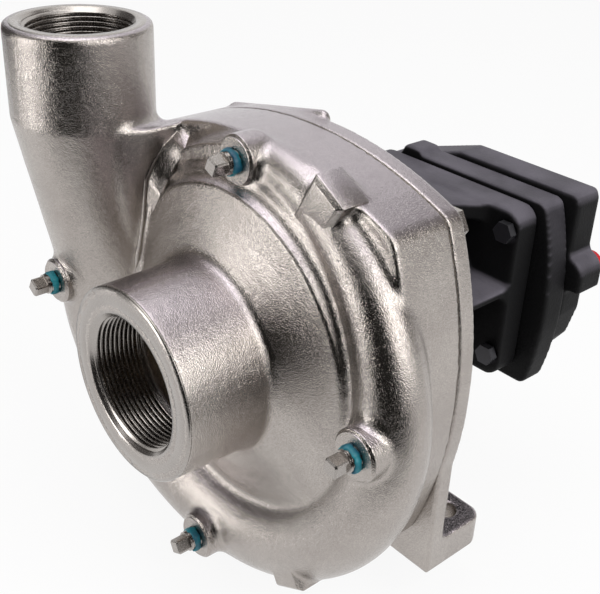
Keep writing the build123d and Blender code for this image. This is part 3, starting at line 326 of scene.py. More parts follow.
@dataclass(frozen=True)
class SatinPaint(Finish):
    """Black paint over rough iron castings, paler in patches on upward faces: dust together with a painted
    sheen of the overhead light.
    """

    name: str = "satin_paint"
    colour: Colour = (0.006, 0.006, 0.0065)
    # dust and painted sheen: the lavender grey that upward faces take on
    dust_and_painted_sheen: Colour = (0.125, 0.117, 0.138)
    peel_scale: float = 900.0
    peel_depth: float = 0.00022
    roughness: float = 0.48
    shine: float = 0.12

    def shade(self, shading: Shading) -> None:
        """Build the node tree.

        Args:
            shading: The material's empty tree.
        """
        peel = shading.noise(self.peel_scale, 3.0)
        patches = shading.noise(45.0, 3.0)
        # Upward faces paler in patches: dust together with painted sheen from overhead.
        dust_and_sheen_mask = shading.upward().over(0.02, 0.7) * (0.60 + 0.40 * patches.over(0.30, 0.40))
        shading.surface(
            {
                "Base Color": shading.blend(dust_and_sheen_mask, self.colour, self.dust_and_painted_sheen),
                "Roughness": self.roughness + 0.22 * patches,
                "Specular IOR Level": self.shine,
                "Normal": shading.bump(peel, self.peel_depth),
            }
        )


@dataclass(frozen=True)
class Moulded(Finish):
    """Moulded or cast stuff of one colour with a fine grain: rubber, plastic, paste, ceramic, carbon."""

    name: str
    light: Colour
    dark: Colour
    roughness: float
    grain_scale: float = 900.0
    grain_depth: float = 0.00004
    metallic: float = 0.0

    def shade(self, shading: Shading) -> None:
        """Build the node tree.

        Args:
            shading: The material's empty tree.
        """
        tone = shading.noise(120.0, 3.0)
        grain = shading.noise(self.grain_scale, 2.0)
        shading.surface(
            {
                "Base Color": shading.blend(tone.over(0.3, 0.4), self.dark, self.light),
                "Metallic": self.metallic,
                "Roughness": self.roughness + 0.15 * grain,
                "Normal": shading.bump(grain, self.grain_depth),
            }
        )


CASTING = BlastedCasting()
MACHINED = MachinedSteel()
PAINT = SatinPaint()
DARK_STEEL = Moulded("dark_steel", (0.10, 0.10, 0.105), (0.05, 0.05, 0.055), 0.34, metallic=0.9)
BALL_STEEL = Moulded("ball_steel", (0.80, 0.80, 0.80), (0.70, 0.70, 0.70), 0.12, metallic=1.0)
ROTOR_STEEL = Moulded("rotor_steel", (0.42, 0.42, 0.43), (0.30, 0.30, 0.31), 0.32, metallic=1.0)
BRONZE = Moulded("bronze", (0.66, 0.44, 0.22), (0.50, 0.32, 0.15), 0.34, metallic=1.0)
RUBBER = Moulded("rubber", (0.030, 0.030, 0.030), (0.016, 0.016, 0.016), 0.62)
SEALANT = Moulded("sealant", (0.006, 0.20, 0.24), (0.003, 0.055, 0.10), 0.38, 1300.0, 0.00012)
RED_CAP = Moulded("red_cap", (0.62, 0.012, 0.020), (0.45, 0.008, 0.014), 0.38)
TAN_PLASTIC = Moulded("tan_plastic", (0.30, 0.24, 0.14), (0.22, 0.17, 0.10), 0.45)
CERAMIC = Moulded("ceramic", (0.86, 0.84, 0.80), (0.80, 0.78, 0.74), 0.22)
CARBON = Moulded("carbon", (0.050, 0.050, 0.055), (0.030, 0.030, 0.034), 0.34)


class Edge(Enum):
    """How crisp the outside corners of a casting are, in metres of radius."""

    CRISP = 0.0003
    SOFT = 0.0010


class Shaper:
    """Mesh work that several pieces share."""

    @staticmethod
    def from_mesh(name: str, points: np.ndarray, faces: list) -> bpy.types.Object:
        """Make an object from points and faces, shaded smooth.

        Args:
            name: The object's name.
            points: Its vertices, in metres.
            faces: Its faces, as lists of vertex numbers.

        Returns:
            The new object.
        """
        data = bpy.data.meshes.new(name)
        data.from_pydata([tuple(map(float, p)) for p in points], [], [list(map(int, f)) for f in faces])
        data.update()
        data.polygons.foreach_set("use_smooth", [True] * len(data.polygons))
        made = bpy.data.objects.new(name, data)
        bpy.context.scene.collection.objects.link(made)
        return made

    @staticmethod
    def node_mesh(node: str) -> Mesh:
        """Read a CAD node's triangles.

        Args:
            node: The node's name.

        Returns:
            Its points, triangles and an empty set of quads.
        """
        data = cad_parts[node].data
        points = np.empty(len(data.vertices) * 3, np.float32)
        data.vertices.foreach_get("co", points)
        data.calc_loop_triangles()
        triangles = np.empty(len(data.loop_triangles) * 3, np.int32)
        data.loop_triangles.foreach_get("vertices", triangles)
        triangles = triangles.reshape(-1, 3).astype(np.uint32)
        return points.reshape(-1, 3), triangles, np.empty((0, 4), np.uint32)

    @staticmethod
    def grown(mesh: Mesh, amount: float, voxel: float) -> Mesh:
        """Move a closed surface outwards by a distance, or inwards if it is negative.

        Args:
            mesh: Points, triangles and quads.
            amount: The distance, in metres.
            voxel: The grid's pitch.

        Returns:
            The new surface.
        """
        points, triangles, quads = mesh
        grid = vdb.FloatGrid.createLevelSetFromPolygons(
            points,
            triangles=triangles,
            quads=quads,
            transform=vdb.createLinearTransform(voxel),
            halfWidth=abs(amount) / voxel + 3.0,
        )
        shell, three, four = grid.convertToPolygons(isovalue=amount, adaptivity=0.0)
        return shell, three[:, ::-1].astype(np.uint32), four[:, ::-1].astype(np.uint32)

    @classmethod
    def cast(cls, mesh: Mesh, hollow: float, edge: float, voxel: float) -> Mesh:
        """Give a sharp solid the look of a casting: a ball rolls in its hollows and over its corners.

        Args:
            mesh: Points, triangles and quads.
            hollow: Radius of the fillets in its hollows.
            edge: Radius of its outside corners.
            voxel: The grid's pitch.

        Returns:
            The rounded surface.
        """
        swollen = cls.grown(mesh, hollow, voxel)
        shrunk = cls.grown(swollen, -hollow - edge, voxel)
        return cls.grown(shrunk, edge, voxel)

    @classmethod
    def skin(cls, name: str, mesh: Mesh) -> bpy.types.Object:
        """Make an object of a surface's points, triangles and quads."""
        points, triangles, quads = mesh
        return cls.from_mesh(name, points, triangles.tolist() + quads.tolist())

    @staticmethod
    def turned(centre: Point, radius: float, share: float) -> Point:
        """Point on a circle that faces -Y, at a share of a turn."""
        angle = TURN * share
        return centre[0] + radius * math.cos(angle), centre[1], centre[2] + radius * math.sin(angle)

    @staticmethod
    def grid_mesh(rows: int, columns: int, point: Callable[[float, float], Point], closed: bool) -> Mesh:
        """Make a surface from a grid of points whose columns go round.

        Args:
            rows: How many rows.
            columns: How many columns.
            point: Gives the point at a row's share and a column's share, both from 0 to 1.
            closed: Whether the last row joins the first.

        Returns:
            Its points, an empty set of triangles and its quads.
        """
        last = rows if closed else rows - 1
        points = [point(row / last, column / columns) for row in range(rows) for column in range(columns)]
        quads = [
            (
                row * columns + column,
                row * columns + (column + 1) % columns,
                (row + 1) % rows * columns + (column + 1) % columns,
                (row + 1) % rows * columns + column,
            )
            for row in range(last)
            for column in range(columns)
        ]
        return np.array(points, np.float32), np.empty((0, 3), np.uint32), np.array(quads, np.uint32)

    @staticmethod
    def joined(*meshes: Mesh) -> Mesh:
        """Put closed surfaces together, which then count as one solid.

        Args:
            meshes: The surfaces.

        Returns:
            All of them in one set of points, triangles and quads.
        """
        counts = np.cumsum([0] + [len(mesh[0]) for mesh in meshes[:-1]])
        points = np.concatenate([mesh[0] for mesh in meshes])
        triangles = np.concatenate([mesh[1] + count for mesh, count in zip(meshes, counts)])
        quads = np.concatenate([mesh[2] + count for mesh, count in zip(meshes, counts)])
        return points, triangles.astype(np.uint32), quads.astype(np.uint32)


@dataclass
class PipeMouth:
    """A taper pipe thread cut into a mouth of the casing, with its faced end."""

    name: str
    centre: Point
    out: Point
    bore: float
    rim: float
    depth: float
    aside: Point = (1.0, 0.0, 0.0)
    pitch: float = 0.002209
    tooth: float = 0.00150
    steepness: float = 1.35
    taper: float = 0.03125
    chamfer: float = 0.0010
    proud: float = 0.00006
    rim_chamfer: float = 0.0006
    backing: float = 0.0008
    steps: int = 16
    round_steps: int = 200

    def _world(self, inward: float, radius: float, turn: float) -> Point:
        """Place a point of the mouth.

        Args:
            inward: Distance in from the face.
            radius: Distance from the mouth's axis.
            turn: Share of a turn.

        Returns:
            The point, in the CAD frame.
        """
        out = Vector(self.out)
        aside = Vector(self.aside)
        across = out.cross(aside)
        angle = TURN * turn
        spoke = aside * math.cos(angle) + across * math.sin(angle)
        return tuple(Vector(self.centre) - out * inward + spoke * radius)

    def _thread_radius(self, inward: float, turn: float) -> float:
        """Radius of the thread's surface, a ridge every pitch, faded out at the mouth's chamfer.

        Args:
            inward: Distance in from the face.
            turn: Share of a turn.

        Returns:
            The radius there.
        """
        phase = (inward / self.pitch - turn) % 1.0
        ridge = 1.0 - abs(2.0 * phase - 1.0)
        ridge = min(max(self.steepness * (ridge - 0.5) + 0.5, 0.0), 1.0)
        major = self.bore - self.taper * inward
        return max(major - self.tooth * ridge, self.bore + self.chamfer - inward)

    def build(self) -> bpy.types.Object:
        """Make the mouth: faced ring, chamfer and thread, closed by a sleeve sunk in the casing's wall.

        Returns:
            The mouth's object.
        """
        thread_rows = int(self.depth / self.pitch * self.steps)
        face = -self.proud
        buried = self.bore + self.backing
        front = [
            (self.rim_chamfer * 2.0, buried),
            (self.rim_chamfer * 2.0, self.rim),
            (self.rim_chamfer, self.rim + self.proud),
            (face, self.rim - self.rim_chamfer),
        ]
        rows = len(front) + thread_rows + 1

        def point(row: float, column: float) -> Point:
            """Point of the surface at shares of its length and of its turn."""
            index = round(row * rows)
            thread_row = index - len(front)
            if thread_row < 0:
                inward, radius = front[index]
            elif thread_row < thread_rows:
                inward = self.depth * thread_row / (thread_rows - 1)
                radius = self._thread_radius(inward, column)
                inward += face if thread_row == 0 else 0.0
            else:
                inward, radius = self.depth, buried
            return self._world(inward, radius, column)

        return Shaper.skin(self.name, Shaper.grid_mesh(rows, self.round_steps, point, True))


@dataclass(frozen=True)
class PlugPlace:
    """A plug's place: distance right of the shaft, the boss's face, the height and the head's own turn."""

    right: float
    face: float
    up: float
    lean: float

    def ring(self, ahead: float, radius: float, share: float) -> Point:
        """Point round the plug's axis: its distance ahead of the boss's face, radius and share of a turn."""
        return Shaper.turned((self.right, self.face - ahead, self.up), radius, share)


PLUG_PLACES = (
    PlugPlace(0.0, -0.0679, 0.18075, 24.0),
    PlugPlace(0.0910, -0.0815, 0.09525, 8.0),
    PlugPlace(0.0, -0.0895, -0.00475, 62.0),
    PlugPlace(-0.0980, -0.1010, 0.09525, 30.0),
)


@dataclass
class PlugSet:
    """Square-head pipe plugs with their threads, and a smear of sealant round each."""

    thread: float = 0.0049
    pitch: float = 0.00094
    tooth: float = 0.00045
    sunk: float = 0.0090
    neck: float = 0.0055
    head: float = 0.0065
    half_width: float = 0.00335
    corner: float = 0.00425
    bevel: float = 0.0007
    head_step: float = 0.0001
    tip: float = 0.00001
    band_start: float = 0.0002
    band_length: float = 0.0036
    band_thickness: float = 0.0011
    band_rows: int = 16
    rows_per_pitch: int = 10
    around: int = 96

    def _square(self, turn: float, lean: float, half: float, corner: float) -> float:
        """Radius of a leaning square whose corners are turned off, at a share of a turn."""
        angle = TURN * turn + math.radians(lean)
        return min(half / max(abs(math.cos(angle)), abs(math.sin(angle))), corner)

    def _rows(self) -> list[tuple[float, str]]:
        """Distances ahead of the boss's face, and which section each has."""
        length = self.neck + self.sunk
        count = int(length / self.pitch * self.rows_per_pitch)
        thread = [(-self.sunk + length * row / count, "thread") for row in range(count + 1)]
        front = self.neck + self.head
        head = [
            (self.neck + self.head_step, "square"),
            (self.neck + 2 * self.head_step, "square"),
            (front - self.bevel, "square"),
            (front, "bevelled"),
            (front, "middle"),
        ]
        return [(-self.sunk, "middle")] + thread + head

    def _plug(self, number: int, place: PlugPlace) -> bpy.types.Object:
        """Make one plug.

        Args:
            number: Its number, for the name.
            place: Where it is.

        Returns:
            The plug's object.
        """
        rows = self._rows()

        def point(row: float, column: float) -> Point:
            """Point of the surface at shares of its length and of its turn."""
            ahead, kind = rows[round(row * (len(rows) - 1))]
            if kind == "thread":
                phase = (ahead / self.pitch - column) % 1.0
                ridge = 1.0 - abs(2.0 * phase - 1.0)
                radius = self.thread - self.tooth * (1.0 - ridge)
            elif kind == "square":
                radius = self._square(column, place.lean, self.half_width, self.corner)
            elif kind == "bevelled":
                half = self.half_width - self.bevel
                radius = self._square(column, place.lean, half, self.corner - self.bevel)
            else:
                radius = self.tip
            return place.ring(ahead, radius, column)

        made = Shaper.skin(f"pipe_plug_{number}", Shaper.grid_mesh(len(rows), self.around, point, False))
        made.data.set_sharp_from_angle(angle=math.radians(28.0))
        return made

    def _smear(self, number: int, place: PlugPlace) -> bpy.types.Object:
        """Make the uneven ring of sealant of one plug.

        Args:
            number: Its number, for the name.
            place: Where the plug is.

        Returns:
            The ring's object.
        """
        waves = ((3, 0.00016, 0.7), (5, 0.00013, 2.1), (8, 0.00009, 4.0), (13, 0.00006, 1.2))

        def point(row: float, column: float) -> Point:
            """Point of the surface at shares of its length and of its turn."""
            around = TURN * column
            lump = sum(size * math.sin(count * around + shift + number) for count, size, shift in waves)
            ring = TURN * row
            length = self.band_length * 0.5 + 1.6 * lump
            ahead = self.band_start + self.band_length * 0.5 + length * math.cos(ring)
            out = self.band_thickness + lump
            radius = self.thread - self.tooth + 0.5 * out + 0.5 * (out + self.tooth) * math.sin(ring)
            return place.ring(ahead, radius, column)

        ring = Shaper.grid_mesh(self.band_rows, self.around, point, True)
        return Shaper.skin(f"sealant_smear_{number}", ring)

    def build(self) -> None:
        """Make the plugs and the sealant."""
        for number, place in enumerate(PLUG_PLACES, 1):
            plug = self._plug(number, place)
            MACHINED.dress(plug)
            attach(plug, "pump")
            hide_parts("drain_plugs")
            smear = self._smear(number, place)
            SEALANT.dress(smear)
            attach(smear, "pump")
            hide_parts("sealant_bands")
            LOG.info("%s and %s", plug.name, smear.name)


@dataclass(frozen=True)
class FaceRing:
    """Metal added round the shaft to a casting's front. Its section is distances from the shaft and stations.

    Where the ring is only wanted on an arc, its section shrinks to a spot inside the metal elsewhere.
    """

    section: tuple[tuple[float, float], ...]
    spot: tuple[float, float] = (0.0, 0.0)
    arc: tuple[float, float] = (0.0, 0.0)
    fade: float = 15.0
    around: int = 240

    def _share(self, degrees: float) -> float:
        """How much of the ring there is at an angle."""
        if self.arc[0] == self.arc[1]:
            return 1.0
        inside = min(degrees - self.arc[0], self.arc[1] - degrees) / self.fade
        return min(max(inside, 0.0), 1.0)

    def mesh(self) -> Mesh:
        """Make the ring's surface."""

        def point(row: float, column: float) -> Point:
            """Point of the surface at shares of its length and of its turn."""
            radius, station = self.section[round(row * len(self.section))]
            share = self._share(360.0 * column)
            radius = self.spot[0] + (radius - self.spot[0]) * share
            station = self.spot[1] + (station - self.spot[1]) * share
            return Shaper.turned((0.0, station, AXIS_HEIGHT), radius, column)

        return Shaper.grid_mesh(len(self.section), self.around, point, True)


@dataclass
class Casting:
    """A cast piece that replaces one CAD node with a rounded skin."""

    node: str
    body: str
    slot: str
    hollow: float
    edge: Edge
    voxel: float
    added: tuple[FaceRing, ...] = ()

    def build(self, finish: Finish) -> bpy.types.Object:
        """Make the skin.

        Args:
            finish: What to dress it with.

        Returns:
            The skin's object.
        """
        rings = [ring.mesh() for ring in self.added]
        mesh = Shaper.joined(Shaper.node_mesh(self.node), *rings)
        mesh = Shaper.cast(mesh, self.hollow, self.edge.value, self.voxel)
        skin = Shaper.skin(f"{self.node}_skin", mesh)
        finish.dress(skin)
        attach(skin, self.body)
        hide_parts(self.node)
        LOG.info("%s: %d points", skin.name, len(skin.data.vertices))
        return skin


@dataclass(frozen=True)
class PlugBoss:
    """A faced round boss of the casing, crisp where the casting round it is soft."""

    place: PlugPlace
    radius: float = 0.0110
    bevel: float = 0.0013
    hole: float = 0.0051
    hole_depth: float = 0.0025
    depth: float = 0.0100
    buried: float = 0.0050
    proud: float = 0.00008
    lip: float = 0.0003
    around: int = 128

    def build(self, number: int) -> bpy.types.Object:
        """Make the boss as a turned ring.

        Args:
            number: Its number, for the name.

        Returns:
            The boss's object.
        """
        outside = self.radius + self.proud
        section = [
            (self.depth, self.hole + self.buried),
            (self.depth, outside),
            (self.bevel, outside),
            (self.bevel - self.lip, outside - self.lip / 2),
            (self.lip - self.proud, outside - self.bevel + self.lip / 2),
            (-self.proud, outside - self.bevel),
            (-self.proud, self.hole + self.lip),
            (self.lip, self.hole),
            (self.hole_depth, self.hole),
        ]

        def point(row: float, column: float) -> Point:
            """Point of the surface at shares of its length and of its turn."""
            inward, radius = section[round(row * len(section))]
            return self.place.ring(-inward, radius, column)

        made = Shaper.skin(f"plug_boss_{number}", Shaper.grid_mesh(len(section), self.around, point, True))
        made.data.set_sharp_from_angle(angle=math.radians(24.0))
        return made


@dataclass(frozen=True)
class ChuckLug:
    """A block left on the casing for the lathe's chuck, with a broken front edge."""

    angle: float
    reach: float
    front: float
    width: float
    length: float = 0.0240
    depth: float = 0.0150
    edge: float = 0.0020
    proud: float = 0.00012
    round_edge: float = 0.0004
    segments: int = 2

    def build(self, number: int) -> bpy.types.Object:
        """Make the block.

        Args:
            number: Its number, for the name.

        Returns:
            The block's object.
        """
        half = self.width / 2 + self.proud
        reach = self.reach + self.proud
        front = self.front - self.proud
        corners = []
        for station, inset in ((front, self.edge), (front + self.edge, 0.0), (front + self.depth, 0.0)):
            low = reach - self.length + inset
            corners += [
                (low, station, -half + inset),
                (reach - inset, station, -half + inset),
                (reach - inset, station, half - inset),
                (low, station, half - inset),
            ]
        faces = [(3, 2, 1, 0), (8, 9, 10, 11)]
        for row in (0, 4):
            for side in range(4):
                beside = (side + 1) % 4
                faces.append((row + side, row + beside, row + 4 + beside, row + 4 + side))
        made = Shaper.from_mesh(f"chuck_lug_{number}", np.array(corners), faces)
        turning = Matrix.Rotation(-math.radians(self.angle), 4, "Y")
        made.data.transform(Matrix.Translation((0.0, 0.0, AXIS_HEIGHT)) @ turning)
        work = bmesh.new()
        work.from_mesh(made.data)
        bmesh.ops.recalc_face_normals(work, faces=work.faces)
        bmesh.ops.bevel(
            work,
            geom=list(work.edges),
            offset=self.round_edge,
            segments=self.segments,
            profile=0.5,
            affect="EDGES",
        )
        work.to_mesh(made.data)
        work.free()
        made.data.polygons.foreach_set("use_smooth", [True] * len(made.data.polygons))
        made.data.set_sharp_from_angle(angle=math.radians(40.0))
        return made


@dataclass(frozen=True)
class Sight:
    """The photograph's camera, which finds the place on the CAD model under a pixel."""

    place: Point = (0.2947, -0.2973, 0.32555)
    azimuth: float = 47.69
    elevation: float = 28.87
    roll: float = 2.57
    focal_pixels: float = 991.0
    width: int = 600
    height: int = 594

    def axes(self) -> tuple[Vector, Vector, Vector]:
        """The camera's right, top and forward directions."""
        turn = math.radians(self.azimuth)
        tilt = math.radians(self.elevation)
        lean = math.radians(self.roll)
        ahead = Vector(
            (-math.sin(turn) * math.cos(tilt), math.cos(turn) * math.cos(tilt), -math.sin(tilt))
        )
        level = Vector((math.cos(turn), math.sin(turn), 0.0))
        upright = level.cross(ahead)
        right = level * math.cos(lean) + upright * math.sin(lean)
        top = upright * math.cos(lean) - level * math.sin(lean)
        return right, top, ahead

    def along(self, pixel: tuple[float, float], distance: float) -> Vector:
        """Place on the sight line of a pixel, which is a column and a row.

        Args:
            pixel: The pixel.
            distance: How far from the camera.

        Returns:
            The place.
        """
        right, top, ahead = self.axes()
        aside = (pixel[0] - self.width / 2) / self.focal_pixels
        above = (self.height / 2 - pixel[1]) / self.focal_pixels
        return Vector(self.place) + (ahead + right * aside + top * above).normalized() * distance

    def range_of(self, place: Vector) -> float:
        """Distance of a place from the camera."""
        return (place - Vector(self.place)).length

    def seat(self, tree: BVHTree, pixel: tuple[float, float]) -> Vector:
        """First place of a surface that the sight line of a pixel meets."""
        eye = Vector(self.place)
        return tree.ray_cast(eye, (self.along(pixel, 1.0) - eye).normalized())[0]

    def seats_of_ridge(self, tree: BVHTree, pixels: tuple[tuple[float, float], ...]) -> list[Vector]:
        """Places of a raised line, which spans the hollows under it.

        Args:
            tree: The surface.
            pixels: The line's pixels.

        Returns:
            A place for each pixel, on the surface or nearer.
        """
        seats = [self.seat(tree, pixel) for pixel in pixels]
        first, last = (self.range_of(seat) for seat in (seats[0], seats[-1]))
        for index, pixel in enumerate(pixels[1:-1], 1):
            share = index / (len(seats) - 1)
            nearest = min(self.range_of(seats[index]), first + (last - first) * share)
            seats[index] = self.along(pixel, nearest)
        return seats


def end_share(row: float, slope: float = 12.0, least: float = 0.02) -> float:
    """How thick a laid-on piece is at a share of its length: full, and almost nothing at both ends."""
    return min(1.0, slope * min(row, 1.0 - row) + least)


@dataclass(frozen=True)
class CastRidge:
    """A thin raised line left by the mould, laid on a casting along pixels of the photograph."""

    name: str
    pixels: tuple[tuple[float, float], ...]
    start_radius: float
    end_radius: float
    root: float = 0.006
    bends: int = 120
    around: int = 16

    def build(self, sight: Sight, skin: bpy.types.Object) -> bpy.types.Object:
        """Make the ridge, half sunk in the casting's skin.

        Args:
            sight: The photograph's camera.
            skin: The casting's skin.

        Returns:
            The ridge's object.
        """
        tree = BVHTree.FromObject(skin, bpy.context.evaluated_depsgraph_get())
        seats = sight.seats_of_ridge(tree, self.pixels)
        lengths = [0.0]
        for first, second in zip(seats, seats[1:]):
            lengths.append(lengths[-1] + (second - first).length)

        def middle(share: float) -> Vector:
            """Place on the ridge's line at a share of its length."""
            run = min(max(share, 0.0), 1.0) * lengths[-1]
            index = max(i for i, length in enumerate(lengths[:-1]) if length <= run)
            part = (run - lengths[index]) / (lengths[index + 1] - lengths[index])
            return seats[index].lerp(seats[index + 1], part)

        def point(row: float, column: float) -> Point:
            """Point of the surface at shares of its length and of its turn."""
            ahead = (middle(row + 0.01) - middle(row - 0.01)).normalized()
            into = sight.axes()[2]
            into = (into - ahead * into.dot(ahead)).normalized()
            across = ahead.cross(into)
            ends = end_share(row)
            radius = (self.start_radius + (self.end_radius - self.start_radius) * row) * ends
            angle = TURN * column
            back = math.sin(angle) * radius + max(math.sin(angle), 0.0) * self.root * ends
            return tuple(middle(row) + across * math.cos(angle) * radius + into * back)

        return Shaper.skin(self.name, Shaper.grid_mesh(self.bends, self.around, point, False))


@dataclass(frozen=True)
class CastRamp:
    """A smooth slope of metal from a ridge down to a casting, laid between two lines of pixels."""

    name: str
    ridge: tuple[tuple[float, float], ...]
    foot: tuple[tuple[float, float], ...]
    root: float = 0.005
    sunk: float = 0.0003
    rows: int = 48
    columns: int = 40

    @staticmethod
    def _between(line: list[Vector], share: float) -> Vector:
        """Point of a line of seats at a share of its count."""
        run = share * (len(line) - 1)
        index = min(int(run), len(line) - 2)
        return line[index].lerp(line[index + 1], run - index)

    def build(self, sight: Sight, skin: bpy.types.Object) -> bpy.types.Object:
        """Make the slope, its back sunk in the casting's skin.

        Args:
            sight: The photograph's camera.
            skin: The casting's skin.

        Returns:
            The slope's object.
        """
        tree = BVHTree.FromObject(skin, bpy.context.evaluated_depsgraph_get())
        into = sight.axes()[2]
        top = sight.seats_of_ridge(tree, self.ridge)
        foot = [sight.seat(tree, pixel) + into * self.sunk for pixel in self.foot]

        def point(row: float, column: float) -> Point:
            """Point of the surface at shares of its length and of its turn."""
            front = column < 0.5
            across = 2.0 * column if front else 2.0 - 2.0 * column
            place = self._between(top, row).lerp(self._between(foot, row), across)
            return tuple(place if front else place + into * self.root * end_share(row))

        return Shaper.skin(self.name, Shaper.grid_mesh(self.rows, self.columns, point, False))


@dataclass
class WetEnd:
    """The pump's casing, its two threaded mouths and its mounting flange."""

    inlet: PipeMouth = field(
        default_factory=lambda: PipeMouth(
            "inlet_thread", (0.0, -0.1215, AXIS_HEIGHT), (0.0, -1.0, 0.0), 0.0301, 0.0425, 0.0245
        )
    )
    outlet: PipeMouth = field(
        default_factory=lambda: PipeMouth(
            "outlet_thread", (-0.0926, -0.0820, 0.21975), (0.0, 0.0, 1.0), 0.0241, 0.0300, 0.0225
        )
    )
    casing: Casting = field(
        default_factory=lambda: Casting(
            "volute_casing",
            "pump",
            "cast_stainless",
            0.0035,
            Edge.CRISP,
            0.0009,
            (
                FaceRing(
                    (
                        (0.0410, -0.0716), (0.0410, -0.0805), (0.0435, -0.0800), (0.0520, -0.0770),
                        (0.0620, -0.0742), (0.0732, -0.0719), (0.0732, -0.0711),
                    )
                ),
                FaceRing(
                    ((0.0725, -0.0617), (0.0725, -0.0668), (0.0790, -0.0660), (0.0805, -0.0617)),
                    (0.0700, -0.0702),
                    (10.0, 165.0),
                ),
            ),
        )
    )
    flange: Casting = field(
        default_factory=lambda: Casting(
            "mounting_flange", "pump", "cast_stainless", 0.0020, Edge.CRISP, 0.0008
        )
    )
    bosses: tuple[PlugBoss, ...] = tuple(PlugBoss(place) for place in PLUG_PLACES)
    lugs: tuple[ChuckLug, ...] = (
        ChuckLug(60.0, 0.1026, -0.0650, 0.0180),
        ChuckLug(-60.0, 0.1120, -0.0795, 0.0190),
        ChuckLug(180.0, 0.1190, -0.0905, 0.0190),
    )
    ridges: tuple[Union[CastRidge, CastRamp], ...] = (
        CastRamp(
            "crotch_ramp",
            (
                (181.0, 119.0), (181.0, 128.0), (171.0, 138.0), (161.0, 149.0), (152.0, 164.0),
                (146.5, 180.0), (145.0, 200.0),
            ),
            (
                (191.0, 124.0), (190.0, 136.0), (185.0, 150.0), (179.0, 163.0), (170.0, 180.0),
                (161.0, 196.0), (154.0, 212.0),
            ),
        ),
        CastRidge(
            "crotch_ridge",
            (
                (181.0, 120.0), (181.0, 128.0), (178.0, 131.0), (163.0, 146.0), (152.0, 164.0),
                (146.0, 178.0), (145.0, 196.0), (143.5, 218.0), (140.0, 243.0), (135.0, 270.0),
            ),
            0.0007,
            0.0014,
        ),
    )

    def build(self) -> None:
        """Make the wet end's pieces."""
        skin = self.casing.build(CASTING)
        self.flange.build(CASTING)
        pieces = [(ridge.build(Sight(), skin), CASTING) for ridge in self.ridges]
        pieces += [(boss.build(number), CASTING) for number, boss in enumerate(self.bosses, 1)]
        pieces += [(lug.build(number), CASTING) for number, lug in enumerate(self.lugs, 1)]
        pieces += [(mouth.build(), MACHINED) for mouth in (self.inlet, self.outlet)]
        for piece, finish in pieces:
            finish.dress(piece)
            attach(piece, "pump")
            LOG.info("%s: %d points", piece.name, len(piece.data.vertices))


@dataclass
class Motor:
    """The black castings of the motor."""

    castings: list[Casting] = field(
        default_factory=lambda: [
            Casting("motor_bracket", "pump", "black_paint", 0.0020, Edge.SOFT, 0.0009),
            Casting("gerotor_plate", "pump", "black_paint", 0.0012, Edge.SOFT, 0.0009),
            Casting("rear_cover", "pump", "black_paint", 0.0020, Edge.SOFT, 0.0009),
        ]
    )

    def build(self) -> None:
        """Make the motor's pieces."""
        for casting in self.castings:
            casting.build(PAINT)


@dataclass
class CarriedNodes:
    """CAD nodes that stay as they are and only get a finish."""

    finishes: tuple[tuple[Finish, tuple[str, ...]], ...] = (
        (RUBBER, ("casing_ring", "seal_cup", "seal_bellows", "slinger", "lip_seal", "motor_rings")),
        (MACHINED, ("casing_screws", "impeller_washer", "impeller_nut", "impeller_key", "motor_shaft")),
        (MACHINED, ("seal_band", "seal_spring")),
        (DARK_STEEL, ("bracket_screws", "retaining_ring", "gerotor_key", "through_bolts")),
        (BALL_STEEL, ("bearing_outer_race", "bearing_inner_race", "bearing_balls")),
        (ROTOR_STEEL, ("gerotor_inner", "gerotor_outer")),
        (BRONZE, ("bearing_cage", "shaft_bush")),
        (TAN_PLASTIC, ("impeller",)),
        (CERAMIC, ("seal_seat",)),
        (CARBON, ("seal_carbon",)),
        (RED_CAP, ("port_plugs",)),
    )

    def build(self) -> None:
        """Dress the nodes."""
        for finish, nodes in self.finishes:
            for node in nodes:
                finish.dress(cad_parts[node])
                LOG.info("%s: %s", node, finish.name)


@dataclass(frozen=True)
class Panel:
    """A softbox or a dark card that faces the pump. Directions are degrees from the camera's side."""

    name: str
    azimuth: float
    elevation: float
    distance: float
    width: float
    height: float
    radiance: float = 0.0
    tint: Colour = (1.0, 0.99, 0.98)


